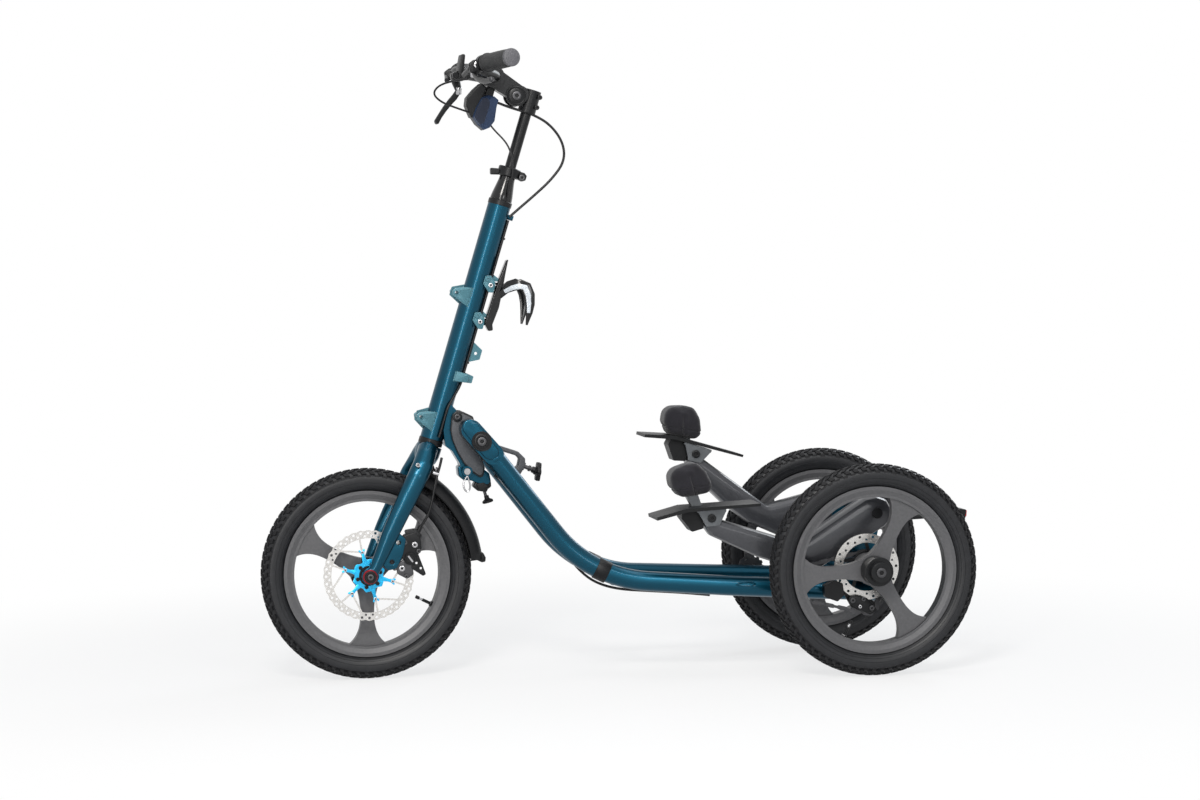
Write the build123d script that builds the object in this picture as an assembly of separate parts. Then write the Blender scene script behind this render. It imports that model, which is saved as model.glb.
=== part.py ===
from build123d import *
import os
from math import asin, atan2, cos, degrees, pi, radians, sin, tan

os.makedirs("parts", exist_ok=True)

# Folding stepper tricycle. Millimetres, X forward, Y to the rider's left, Z up.
# The layout starts with the rear axle over X = 0; save() moves it so that the origin lies
# on the ground in the middle of the length.
MIDDLE_FROM_REAR_AXLE = 448.0

# Wheels
WHEEL_R = 200.5
WHEELBASE = 936.0
TRACK = 420.0
TYRE_HALF_WIDTH = 22.5
TYRE_WALL = 4.0
BEAD_R = 152.5
BEAD_GAP = 0.2
FLANGE_WALL = 3.0
FLANGE_R = 158.0
RIM_HALF_WIDTH = 16.0
WELL_R = 147.0
BARREL_R = 138.0
SPOKE_COUNT = 3
SPOKE_WIDTH = 27.0
SPOKE_DEPTH = 18.0
SPOKE_EYE_R = 31.0
SPOKE_ROOT = 42.0
SPOKE_FLARE = 92.0

# Front hub, brake and fork
FRONT_AXLE_R = 7.5
AXLE_CLEARANCE = 0.4
FRONT_HUB_R = 19.0
FORK_GAP = 98.0
HUB_END_GAP = 2.0
LEG_THICKNESS = 18.0
CROWN_HALF_DEPTH = 21.0
CROWN_TOP = 4.0
ARCH_Z = -50.0
LEG_FOOT_WIDTH = 33.0
FRONT_ROTOR_R = 86.0
FRONT_ROTOR_BAND = 15.0
FRONT_ROTOR_Y = 40.0
ROTOR_THICKNESS = 1.8
PAD_GAP = 1.2
SPIDER_R = 49.0
SPIDER_ARMS = 6

# Front mudguard
GUARD_GAP = 17.0
GUARD_WALL = 3.0
GUARD_HALF = 28.0
GUARD_DROP = 11.0

# Steering column: its axis leans back from the vertical and passes the front axle
HEAD_LEAN = 17.2
CROWN_Z = 437.0
CROWN_X = 813.0
HEAD_TUBE_R = 22.0
HEAD_TUBE_WALL = 2.5
HEAD_TUBE_LENGTH = 474.0
EAR_HALF = 2.5
EAR_HOLE_R = 3.0
STEERER_R = 15.0
BEARING_R = 25.0
BEARING_HEIGHT = 12.0
TURN_GAP = 1.0
CONE_LENGTH = 46.0
CONE_TOP_R = 15.0
POST_R = 10.5
COLLAR_R = 19.0
COLLAR_HEIGHT = 18.0
POST_TOP = 702.0

# Fold hinge and its latch
GUSSET_HALF = 19.5
HINGE_PLATE = 8.0
SCREW_X = 761.0
SCREW_Z = 495.0
SCREW_R = 6.0
LATCH_X = 744.0
LATCH_Z = 391.0
LATCH_PIN_R = 6.0

# Main frame: twin tubes from the fold bolt down to the rear axle
TUBE_R = 19.0
TUBE_WALL = 2.0
FOLD_X = 718.0
FOLD_Z = 448.0
FOLD_BOLT_R = 8.0
LUG_HALF_WIDTH = 19.5
TUBE_HINGE_Y = 51.0
KNEE_X = 515.0
KNEE_Y = 58.0
KNEE_Z = 184.0
KNEE_BEND_R = 240.0
SPLAY_X = 250.0
SPLAY_Y = 106.0
SPLAY_Z = 166.0
CABLE_R = 2.5
TAIL_X = -24.0
TAIL_Y = 126.0
TAIL_Z = 150.0
CROSS_X = 662.0
CROSS_Z = 374.0
CROSS_R = 12.0
HOUSING_R = 25.0
HOUSING_BORE_R = 16.0
HOUSING_HALF = 146.0

# Rear axle and hubs
REAR_AXLE_R = 10.0
REAR_BOSS_R = 27.0
HUB_OUT = 44.0
CAP_R = 19.0
CAP_LENGTH = 14.0
REAR_ROTOR_R = 63.0
REAR_ROTOR_Y = 161.0
REAR_ROTOR_BAND = 17.0

# Chain drive
CHAIN_Y = 150.5
CHAIN_PITCH = 12.7
CHAIN_HALF = 3.6
CHAIN_PLATE = 1.4
TOOTH_GAP = 0.5
SPROCKET_TEETH = 14
SPROCKET_R = CHAIN_PITCH / 2 / sin(pi / SPROCKET_TEETH)
PULLEY_TEETH = 12
PULLEY_R = CHAIN_PITCH / 2 / sin(pi / PULLEY_TEETH)
JOCKEY_R = 16.0
HUB_NECK_R = 18.0

# Foot levers
LEVER_PIVOT_X = -27.0
LEVER_PIVOT_Z = 300.0
LEVER_END_R = 32.0
LEVER_Y = 112.0
LEVER_WIDTH = 56.0
LEVER_BEVEL = 11.0
LEVER_SWING = 19.0
PIVOT_SHAFT_R = 10.0
TOWER_Y = 72.0
TOWER_PLATE = 6.0

# Handlebar
BAR_R = 11.0
BAR_CLAMP_R = 15.9
GRIP_R = 16.0
GRIP_LENGTH = 112.0
BAR_HALF = 296.0

REAR_Z = WHEEL_R
FRONT = (WHEELBASE, 0.0, WHEEL_R)
RAKE = radians(HEAD_LEAN)
LEG_Y = FORK_GAP / 2 + LEG_THICKNESS / 2


def save(shape, name):
    """Write one node, moved from the rear-axle layout to the part's own origin."""
    solids = shape.solids()
    body = solids[0] if len(solids) == 1 else Compound(children=list(solids))
    export_step(Pos(-MIDDLE_FROM_REAR_AXLE, 0, 0) * body, "parts/" + name + ".step")


def side_plane(y):
    """Drawing plane seen from the left: local x is X, local y is Z, pulled towards -Y."""
    return Plane(origin=(0, y, 0), x_dir=(1, 0, 0), z_dir=(0, -1, 0))


def plate(points, y_low, y_high, corner=0.0):
    """Side-view outline between two Y planes, its corners rounded."""
    face = make_face(Polyline(*points, close=True))
    if corner:
        face = fillet(face.vertices(), corner)
    return extrude(side_plane(y_high) * face, y_high - y_low)


def cross_pin(x, z, radius, y_low, y_high):
    """Round bar lying across the machine."""
    return extrude(side_plane(y_high) * Pos(x, z) * Circle(radius), y_high - y_low)


def rod(start, end, radius):
    """Round bar between two points."""
    start, end = Vector(*start), Vector(*end)
    plane = Plane(origin=start, z_dir=(end - start).normalized())
    return extrude(plane * Circle(radius), (end - start).length)


def bent_path(points, radii):
    """Straight runs joined by arcs, one radius for each inner point."""
    points = [Vector(*point) for point in points]
    edges = []
    start = points[0]
    for before, corner, after, radius in zip(points, points[1:], points[2:], radii):
        into = (before - corner).normalized()
        onward = (after - corner).normalized()
        half = radians(into.get_angle(onward)) / 2
        middle = corner + (into + onward).normalized() * (radius / sin(half) - radius)
        enter = corner + into * (radius / tan(half))
        leave = corner + onward * (radius / tan(half))
        edges += [Line(start, enter), ThreePointArc(enter, middle, leave)]
        start = leave
    edges.append(Line(start, points[-1]))
    return Wire(edges)


def tube(points, radii, outer, inner=0.0):
    """Round tube or bar swept along a bent path."""
    path = bent_path(points, radii)
    section = Circle(outer) - Circle(inner) if inner else Circle(outer)
    return sweep(Plane(origin=path @ 0, z_dir=path % 0) * section, path=path)


def on_column(along, ahead=0.0, y=0.0):
    """Point on the steering axis, by distance up from the crown and ahead of the axis."""
    x = CROWN_X - along * sin(RAKE) + ahead * cos(RAKE)
    z = CROWN_Z + along * cos(RAKE) + ahead * sin(RAKE)
    return (x, y, z)


def column_plane(along):
    """Plane square to the steering axis, its x direction ahead."""
    return Plane(origin=on_column(along), x_dir=(cos(RAKE), 0, sin(RAKE)),
                 z_dir=(-sin(RAKE), 0, cos(RAKE)))


def lathe(profile, centre):
    """Turn a (radius, y) outline about a cross axis through the centre."""
    face = make_face(Polyline(*profile, close=True))
    turned = revolve(Plane(origin=(0, 0, 0), x_dir=(1, 0, 0), z_dir=(0, 0, 1)) * face, Axis.Y)
    return Pos(*centre) * turned


# Wheels
def tyre(centre):
    """Clincher tyre: open towards the rim, bulging over the flanges to a rounded crown."""
    lip = RIM_HALF_WIDTH - FLANGE_WALL - BEAD_GAP
    foot = BEAD_R + BEAD_GAP
    neck = FLANGE_R + BEAD_GAP
    belly = (WHEEL_R + BEAD_R) / 2 + 1
    outer = []
    for bead_y, belly_y, crown_r in ((lip, TYRE_HALF_WIDTH, WHEEL_R),
                                     (lip - TYRE_WALL, TYRE_HALF_WIDTH - TYRE_WALL,
                                      WHEEL_R - TYRE_WALL)):
        shoulder = (belly + (crown_r - belly) * 0.76, belly_y * 0.70)
        flank = (neck + (belly - neck) * 0.42, bead_y + (belly_y - bead_y) * 0.70)
        for way in (1, -1):
            outer.append(Line((foot, way * bead_y), (neck, way * bead_y)))
            outer.append(ThreePointArc((neck, way * bead_y), (flank[0], way * flank[1]),
                                       (belly, way * belly_y)))
            outer.append(ThreePointArc((belly, way * belly_y), (shoulder[0], way * shoulder[1]),
                                       (crown_r, 0)))
    for way in (1, -1):
        outer.append(Line((foot, way * lip), (foot, way * (lip - TYRE_WALL))))
    return Pos(*centre) * revolve(make_face(outer), Axis.Y)


def spoked_wheel(centre, first_angle, hub_r, hub_low, hub_high, bore):
    """Cast wheel: rim ring, three flared spokes and a bored hub, seen angles from +X to +Z."""
    rim = lathe([(BARREL_R, -RIM_HALF_WIDTH + 3), (WELL_R - 4, -RIM_HALF_WIDTH + 3),
                 (BEAD_R - 1, -RIM_HALF_WIDTH), (FLANGE_R, -RIM_HALF_WIDTH),
                 (FLANGE_R, FLANGE_WALL - RIM_HALF_WIDTH),
                 (BEAD_R, FLANGE_WALL - RIM_HALF_WIDTH),
                 (BEAD_R, -RIM_HALF_WIDTH + 9), (WELL_R, -5), (WELL_R, 5),
                 (BEAD_R, RIM_HALF_WIDTH - 9), (BEAD_R, RIM_HALF_WIDTH - FLANGE_WALL),
                 (FLANGE_R, RIM_HALF_WIDTH - FLANGE_WALL), (FLANGE_R, RIM_HALF_WIDTH),
                 (BEAD_R - 1, RIM_HALF_WIDTH), (WELL_R - 4, RIM_HALF_WIDTH - 3),
                 (BARREL_R, RIM_HALF_WIDTH - 3)], (0, 0, 0))
    waist = SPOKE_WIDTH / 2
    reach = BARREL_R - SPOKE_EYE_R
    upper = [(SPOKE_EYE_R - 8, SPOKE_ROOT / 2), (SPOKE_EYE_R + 0.17 * reach, waist + 1),
             (SPOKE_EYE_R + 0.45 * reach, waist - 1), (SPOKE_EYE_R + 0.72 * reach, waist + 3),
             (SPOKE_EYE_R + 0.90 * reach, waist + 14), (BARREL_R + 2, SPOKE_FLARE / 2)]
    top = Spline(*upper)
    bottom = Spline(*[(x, -y) for x, y in upper])
    spoke = make_face([top, Line(top @ 1, bottom @ 1), bottom, Line(bottom @ 0, top @ 0)])
    web = Circle(SPOKE_EYE_R)
    for index in range(SPOKE_COUNT):
        web += Rot(0, 0, first_angle + index * 360.0 / SPOKE_COUNT) * spoke
    web &= Circle(BARREL_R + 3)
    spokes = extrude(side_plane(SPOKE_DEPTH / 2) * web, SPOKE_DEPTH)
    hub = cross_pin(0, 0, hub_r, hub_low, hub_high)
    hole = cross_pin(0, 0, bore, hub_low - 1, hub_high + 1)
    return Pos(*centre) * (rim + spokes + hub - hole)


def rotor(centre, outer, band, holes, arms, eye_r, bore):
    """Brake disc with a drilled band and straight slanted arms."""
    ring = Circle(outer) - Circle(outer - band)
    for index in range(holes):
        turn = index * 360.0 / holes
        ring -= Rot(0, 0, turn) * Pos(outer - band * 0.3, 0) * Circle(2.6)
        ring -= Rot(0, 0, turn + 180.0 / holes) * Pos(outer - band * 0.68, 0) * Circle(2.2)
    eye = Circle(eye_r)
    for index in range(arms):
        reach = outer - band + 2
        arm = Pos(reach / 2, eye_r * 0.45) * Rectangle(reach, 6.5)
        eye += Rot(0, 0, index * 360.0 / arms) * arm
    face = ring + (eye & Circle(outer - 1)) - Circle(bore)
    disc = extrude(side_plane(ROTOR_THICKNESS / 2) * face, ROTOR_THICKNESS)
    return Pos(*centre) * disc


def sprocket(x, z, radius, teeth, bore, y_low, y_high):
    """Toothed plate whose tips stay just inside the chain's rollers."""
    tip = radius - 2.4 - TOOTH_GAP
    face = Circle(tip)
    for index in range(teeth):
        face -= Rot(0, 0, (index + 0.5) * 360 / teeth) * Pos(tip, 0) * Circle(2.6)
    return extrude(side_plane(y_high) * Pos(x, z) * (face - Circle(bore)), y_high - y_low)


hub_half = FORK_GAP / 2 - HUB_END_GAP
save(tyre(FRONT), "front_tyre")
save(spoked_wheel(FRONT, 30, FRONT_HUB_R, -hub_half, hub_half, FRONT_AXLE_R + AXLE_CLEARANCE),
     "front_wheel_casting")
rotor_centre = (WHEELBASE, FRONT_ROTOR_Y, WHEEL_R)
save(rotor(rotor_centre, FRONT_ROTOR_R, FRONT_ROTOR_BAND, 20, 6, SPIDER_R, FRONT_HUB_R),
     "front_rotor")
axle_half = FORK_GAP / 2 + LEG_THICKNESS + 5
save(cross_pin(WHEELBASE, WHEEL_R, FRONT_AXLE_R, -axle_half, axle_half)
     + cross_pin(WHEELBASE, WHEEL_R, 11, axle_half - 4, axle_half + 2), "front_axle")

for side, name, first in ((1, "left", 117), (-1, "right", 33)):
    wheel_y = side * TRACK / 2
    centre = (0, wheel_y, REAR_Z)
    save(tyre(centre), "rear_tyre_" + name)
    span = sorted((side * (HOUSING_HALF + 2 - TRACK / 2), side * HUB_OUT))
    casting = spoked_wheel(centre, first, REAR_BOSS_R, span[0], span[1],
                           REAR_AXLE_R + AXLE_CLEARANCE)
    neck_span = sorted((side * (HOUSING_HALF + 1), side * (REAR_ROTOR_Y - ROTOR_THICKNESS / 2)))
    neck = Circle(REAR_BOSS_R + 1) - Circle(HUB_NECK_R)
    casting -= extrude(side_plane(neck_span[1]) * Pos(0, REAR_Z) * neck,
                       neck_span[1] - neck_span[0])
    low, high = sorted((side * (CHAIN_Y - 1.5), side * (CHAIN_Y + 1.5)))
    casting += sprocket(0, REAR_Z, SPROCKET_R, SPROCKET_TEETH, HUB_NECK_R - 1, low, high)
    cap_span = sorted((side * (TRACK / 2 + HUB_OUT), side * (TRACK / 2 + HUB_OUT + CAP_LENGTH)))
    casting += cross_pin(0, REAR_Z, CAP_R, *cap_span)
    save(casting, "rear_wheel_casting_" + name)
    save(rotor((0, side * REAR_ROTOR_Y, REAR_Z), REAR_ROTOR_R, REAR_ROTOR_BAND, 14, 5, 30,
               REAR_BOSS_R), "rear_rotor_" + name)

# Fork: crown, two blades swept forward of the steering axis, steerer through the head tube
def side_point(along, ahead):
    """Column coordinates as a point of the side view."""
    x, _, z = on_column(along, ahead)
    return (x, z)


blade = [side_point(CROWN_TOP, -CROWN_HALF_DEPTH), side_point(CROWN_TOP, CROWN_HALF_DEPTH),
         side_point(-30, CROWN_HALF_DEPTH + 7),
         (WHEELBASE + LEG_FOOT_WIDTH * 0.45, WHEEL_R + 8),
         (WHEELBASE + 6, WHEEL_R - 18), (WHEELBASE - 8, WHEEL_R - 18),
         (WHEELBASE - LEG_FOOT_WIDTH * 0.5, WHEEL_R - 2),
         side_point(-48, -CROWN_HALF_DEPTH)]
outside = FORK_GAP / 2 + LEG_THICKNESS
inside = FORK_GAP / 2
side_form = plate(blade, -outside, outside, 6)
front_outline = [(outside, -320), (outside, CROWN_TOP - 36), (50, CROWN_TOP - 18), (30, CROWN_TOP),
                 (-30, CROWN_TOP), (-50, CROWN_TOP - 18), (-outside, CROWN_TOP - 36),
                 (-outside, -320), (-inside, -320), (-inside, ARCH_Z - 34), (-inside + 20, ARCH_Z),
                 (inside - 20, ARCH_Z), (inside, ARCH_Z - 34), (inside, -320)]
front_plane = Plane(origin=on_column(0, 240), x_dir=(0, 1, 0), z_dir=(cos(RAKE), 0, sin(RAKE)))
front_form = extrude(front_plane * make_face(Polyline(*front_outline, close=True)), -400)
steerer_length = HEAD_TUBE_LENGTH + 2 * BEARING_HEIGHT + 8
steerer = extrude(column_plane(0) * Circle(STEERER_R), steerer_length)
legs_and_crown = side_form & front_form
fork = legs_and_crown + steerer - cross_pin(WHEELBASE, WHEEL_R, FRONT_AXLE_R, -100, 100)
save(fork, "fork")

# Head tube with bearing cups, hinge cheeks and welded ears
tube_base = BEARING_HEIGHT + TURN_GAP + 4
head = extrude(column_plane(tube_base) * (Circle(HEAD_TUBE_R) - Circle(HEAD_TUBE_R - HEAD_TUBE_WALL)),
               HEAD_TUBE_LENGTH - BEARING_HEIGHT)
gusset = plate([(784, 440), (771, 430), (757, 406), (752, 380), (736, 380), (734, 396),
                (747, 410), (757, 440), (758, 478), (762, 508), (775, 522), (787, 470)],
               -GUSSET_HALF, GUSSET_HALF, 3)
gusset -= cross_pin(LATCH_X, LATCH_Z, LATCH_PIN_R, -40, 40)
gusset -= cross_pin(SCREW_X, SCREW_Z, SCREW_R, -40, 40)
gusset -= extrude(column_plane(-40) * Circle(BEARING_R + AXLE_CLEARANCE),
                  40 + TURN_GAP + 4 + BEARING_HEIGHT)
clear_bore = extrude(column_plane(-40) * Circle(HEAD_TUBE_R - HEAD_TUBE_WALL), 700)
ears = Part()
for along, ahead_from, ahead_to, height in ((297, 20, 44, 40), (52, 20, 42, 44),
                                            (334, -20, -46, 36), (262, -20, -42, 36),
                                            (196, -20, -46, 46), (146, 20, -44, 34)):
    low = on_column(along - height / 2, ahead_from)
    high = on_column(along + height / 2, ahead_from)
    tip_low = on_column(along - height / 5, ahead_to)
    tip_high = on_column(along + height / 5, ahead_to)
    outline = [(p[0], p[2]) for p in (low, high, tip_high, tip_low)]
    ears += plate(outline, -EAR_HALF, EAR_HALF, 2)
    hole = on_column(along, ahead_from + 0.6 * (ahead_to - ahead_from))
    ears -= cross_pin(hole[0], hole[2], EAR_HOLE_R, -10, 10)
stop = rod(on_column(462, -20), on_column(462, -32), 5)
head_tube = head + gusset + ears + stop - clear_bore
save(head_tube, "head_tube")

# Hinge plates either side of the gusset, turning on the fold bolt, with their upper screw
plates = Part()
hinge_outline = [(752, 506), (768, 507), (775, 494), (770, 478), (760, 445), (740, 414),
                 (716, 400), (699, 408), (697, 430), (700, 462), (726, 492)]
for side in (1, -1):
    spread = sorted((side * GUSSET_HALF, side * (GUSSET_HALF + HINGE_PLATE)))
    plates += plate(hinge_outline, spread[0], spread[1], 5)
plates += cross_pin(FOLD_X, FOLD_Z, FOLD_BOLT_R + 7, -GUSSET_HALF, GUSSET_HALF)
plates += cross_pin(SCREW_X, SCREW_Z, SCREW_R, -GUSSET_HALF - 1, GUSSET_HALF + 1)
plates -= cross_pin(FOLD_X, FOLD_Z, FOLD_BOLT_R + AXLE_CLEARANCE, -40, 40)
save(plates, "hinge_plates")

# Bottle cage on the two upper rear ears
back = [side_point(246, -47), side_point(372, -45), side_point(386, -42), side_point(384, -48),
        side_point(372, -52), side_point(246, -53), side_point(240, -66), side_point(236, -66)]
cage = plate(back, -9, 9)
for side in (1, -1):
    route = [on_column(318, -50, side * 4), on_column(352, -72, side * 38),
             on_column(352, -108, side * 34), on_column(272, -113, side * 20)]
    cage += tube(route, [16, 14], 4)
cage += tube([on_column(272, -113, 22), on_column(262, -112, 0), on_column(272, -113, -22)],
             [12], 4)
save(cage - head_tube, "bottle_cage")

# Latch below the hinge: bright pin through the gusset, plunger with its small knob
pin = cross_pin(LATCH_X, LATCH_Z, LATCH_PIN_R, -GUSSET_HALF - 8, GUSSET_HALF + 8)
save(pin, "latch_pin")
plunger = plate([(752, 384), (716, 382), (712, 366), (722, 358), (748, 364)], -12, 12, 3)
plunger += rod((722, 0, 366), (706, 0, 340), 4)
plunger += rod((709, 0, 345), (699, 0, 329), 9)
save(plunger - gusset, "latch_plunger")

cup_low = extrude(column_plane(TURN_GAP + 4) * (Circle(BEARING_R) - Circle(STEERER_R + 0.3)),
                  BEARING_HEIGHT)
save(cup_low, "lower_bearing")
top = tube_base + HEAD_TUBE_LENGTH - BEARING_HEIGHT
cup_high = extrude(column_plane(top) * (Circle(BEARING_R - 1) - Circle(STEERER_R + 0.3)),
                   BEARING_HEIGHT - 3)
save(cup_high, "upper_bearing")

# Cone, clamp collar and post above the head tube
cone_base = top + BEARING_HEIGHT - 3 + TURN_GAP
cone = loft([column_plane(cone_base) * Circle(HEAD_TUBE_R - 1),
             column_plane(cone_base + CONE_LENGTH) * Circle(CONE_TOP_R)])
cone -= extrude(column_plane(cone_base - 1) * Circle(STEERER_R),
                steerer_length - cone_base + 1)
post_foot = max(cone_base + 12, steerer_length)
cone -= extrude(column_plane(post_foot) * Circle(POST_R), 100)
save(cone, "column_cone")
collar_base = cone_base + CONE_LENGTH
collar = extrude(column_plane(collar_base) * (Circle(COLLAR_R) - Circle(POST_R)), COLLAR_HEIGHT)
collar += rod(on_column(collar_base + 9, -COLLAR_R + 3), on_column(collar_base + 9, -30), 5)
collar -= extrude(column_plane(collar_base) * Circle(POST_R), COLLAR_HEIGHT)
lever_start = on_column(collar_base + 12, COLLAR_R - 3)
lever_end = on_column(collar_base + 16, COLLAR_R + 22)
collar += rod(lever_start, lever_end, 4)
save(collar, "post_clamp")
post = extrude(column_plane(post_foot) * Circle(POST_R), POST_TOP - post_foot)
save(post, "post")

# Stem with a toothed angle joint, handlebar, grips and controls
joint = on_column(POST_TOP - 12, 24)
clamp_at = (682.0, 0.0, 1137.0)
steerer_clamp = extrude(column_plane(POST_TOP - 40) * Circle(17), 44)
bridge = plate([side_point(POST_TOP - 34, 4), side_point(POST_TOP + 2, 4),
                side_point(POST_TOP + 6, 26), side_point(POST_TOP - 28, 28)], -12, 12)
knuckle = cross_pin(joint[0], joint[2], 17, -20, 20)
arm = plate([(joint[0] - 10, joint[2] + 13), (clamp_at[0] - 14, clamp_at[2] + 13),
             (clamp_at[0] + 6, clamp_at[2] - 18), (joint[0] + 8, joint[2] - 14)], -16, 16)
bar_clamp = cross_pin(clamp_at[0], clamp_at[2], 21, -24, 24)
stem = steerer_clamp + bridge + knuckle + arm + bar_clamp
stem -= extrude(column_plane(POST_TOP - 60) * Circle(POST_R), 60)
stem -= cross_pin(clamp_at[0], clamp_at[2], BAR_CLAMP_R, -40, 40)
save(stem, "stem")

bar_middle = cross_pin(clamp_at[0], clamp_at[2], BAR_CLAMP_R, -27, 27)
grip_end = (690.0, BAR_HALF, 1160.0)
bar_bow = (737.0, 118.0, 1152.0)
halves = Part()
for side in (1, -1):
    route = [(clamp_at[0], side * 20, clamp_at[2]), (clamp_at[0], side * 42, clamp_at[2]),
             (bar_bow[0], side * bar_bow[1], bar_bow[2]),
             (grip_end[0], side * grip_end[1], grip_end[2])]
    halves += tube(route, [30, 60], BAR_R)
save(halves + bar_middle, "handlebar")


def along_grip(distance, side):
    """Point on the straight outer end of the bar, by distance in from the tip."""
    outer = Vector(grip_end[0], side * grip_end[1], grip_end[2])
    inner = Vector(bar_bow[0], side * bar_bow[1], bar_bow[2])
    return outer + (inner - outer).normalized() * distance


for side, name in ((1, "left"), (-1, "right")):
    tip = along_grip(-4, side)
    neck = along_grip(GRIP_LENGTH, side)
    grip = rod(tuple(tip), tuple(neck), GRIP_R)
    grip -= rod(tuple(along_grip(0, side)), tuple(along_grip(GRIP_LENGTH + 5, side)), BAR_R)
    save(grip, "grip_" + name)
    clamp_in = along_grip(GRIP_LENGTH + 3, side)
    clamp_out = along_grip(GRIP_LENGTH + 20, side)
    clamp = rod(tuple(clamp_in), tuple(clamp_out), 16)
    body_end = clamp_in + Vector(30, -side * 6, -16)
    clamp += rod(tuple(along_grip(GRIP_LENGTH + 14, side)), tuple(body_end), 8)
    mid = body_end + Vector(22, side * 30, -26)
    end = Vector(766, side * 232, 1066)
    clamp += tube([tuple(body_end), tuple(mid), tuple(end)], [20], 5)
    clamp -= rod(tuple(along_grip(GRIP_LENGTH - 5, side)),
                 tuple(along_grip(GRIP_LENGTH + 40, side)), BAR_R)
    save(clamp, "brake_lever_" + name)

# Lamp under the stem and display above the bar
lamp = plate([(668, 1098), (694, 1106), (716, 1084), (716, 1058), (704, 1038), (688, 1034),
              (672, 1048)], -22, 22, 5)
lamp += plate([(694, 1106), (716, 1084), (740, 1090), (744, 1118), (722, 1118)], -8, 8, 2)
lamp += plate([(672, 1096), (692, 1102), (690, 1122), (668, 1108)], -6, 6)
save(lamp - stem, "headlamp")
display = plate([(738, 1138), (746, 1136), (754, 1182), (744, 1186)], -28, 28, 2)
display += plate([(672, 1155), (742, 1140), (744, 1154), (676, 1169)], -8, 8)
display -= cross_pin(clamp_at[0], clamp_at[2], 21, -24, 24)
save(display, "display")

# Front caliper and mudguard
caliper = plate([(838, 218), (872, 196), (890, 214), (886, 262), (862, 282), (840, 262)],
                FRONT_ROTOR_Y - 16, FORK_GAP / 2 - 2, 4)
slot = ROTOR_THICKNESS / 2 + PAD_GAP
caliper -= plate([(850, 180), (960, 180), (960, 300), (850, 300)],
                 FRONT_ROTOR_Y - slot, FRONT_ROTOR_Y + slot)
front_caliper = caliper
save(front_caliper, "front_caliper")
guard_r = WHEEL_R + GUARD_GAP + GUARD_WALL
guard_from, guard_to = 128.0, 183.0


def guard_line(radius):
    """Arched section of the mudguard, from edge to edge."""
    return ThreePointArc((radius - GUARD_DROP, -GUARD_HALF), (radius, 0),
                         (radius - GUARD_DROP, GUARD_HALF))


over, under_line = guard_line(guard_r), guard_line(guard_r - GUARD_WALL)
guard_section = make_face([over, Line(over @ 1, under_line @ 1), under_line,
                           Line(under_line @ 0, over @ 0)])
mudguard = revolve(guard_section, Axis.Y, guard_to - guard_from).rotate(Axis.Y, -guard_to)
mudguard = Pos(WHEELBASE, 0, WHEEL_R) * mudguard
mudguard += plate([(797, 376), (803, 369), (830, 390), (820, 410), (806, 404)], -12, 12)
save(mudguard - fork, "front_mudguard")

# Main frame: twin tubes, hinge lugs, cross tubes, axle housing and lever tower
frame = Part()
cores = Part()
for side in (1, -1):
    route = [(706, side * TUBE_HINGE_Y, 432), (KNEE_X, side * KNEE_Y, KNEE_Z),
             (SPLAY_X, side * SPLAY_Y, SPLAY_Z), (TAIL_X, side * TAIL_Y, TAIL_Z)]
    frame += tube(route, [KNEE_BEND_R, 400], TUBE_R, TUBE_R - TUBE_WALL)
    cores += tube(route, [KNEE_BEND_R, 400], TUBE_R)
for side in (1, -1):
    spread = sorted((side * (TUBE_HINGE_Y - LUG_HALF_WIDTH), side * (TUBE_HINGE_Y + LUG_HALF_WIDTH)))
    lug = SlotCenterToCenter(62, 2 * LUG_HALF_WIDTH)
    lug_face = Pos(FOLD_X + 2, FOLD_Z + 1) * Rot(0, 0, 49) * lug
    frame += extrude(side_plane(spread[1]) * lug_face, spread[1] - spread[0])
    tail = sorted((side * (TAIL_Y - 3), side * (TAIL_Y + 3)))
    frame += plate([(TAIL_X - 10, TAIL_Z - 14), (60, TAIL_Z + 2), (26, REAR_Z + 12),
                    (-12, REAR_Z + 26), (-30, REAR_Z)], tail[0], tail[1], 6)
    tower = sorted((side * (TOWER_Y - TOWER_PLATE / 2), side * (TOWER_Y + TOWER_PLATE / 2)))
    frame += plate([(34, REAR_Z - 6), (-30, REAR_Z - 14), (LEVER_PIVOT_X - 26, LEVER_PIVOT_Z - 10),
                    (LEVER_PIVOT_X - 18, LEVER_PIVOT_Z + 24), (LEVER_PIVOT_X + 22, LEVER_PIVOT_Z + 20)],
                   tower[0], tower[1], 10)
frame += cross_pin(0, REAR_Z, HOUSING_R, -HOUSING_HALF, HOUSING_HALF)
frame += cross_pin(CROSS_X, CROSS_Z, CROSS_R, -TUBE_HINGE_Y, TUBE_HINGE_Y)
frame += cross_pin(470, 181, CROSS_R, -63, 63)
frame -= cross_pin(0, REAR_Z, HOUSING_BORE_R, -HOUSING_HALF - 1, HOUSING_HALF + 1)
frame -= cross_pin(FOLD_X, FOLD_Z, FOLD_BOLT_R, -90, 90)
frame -= cross_pin(LEVER_PIVOT_X, LEVER_PIVOT_Z, PIVOT_SHAFT_R, -90, 90)
save(frame, "main_frame")

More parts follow.
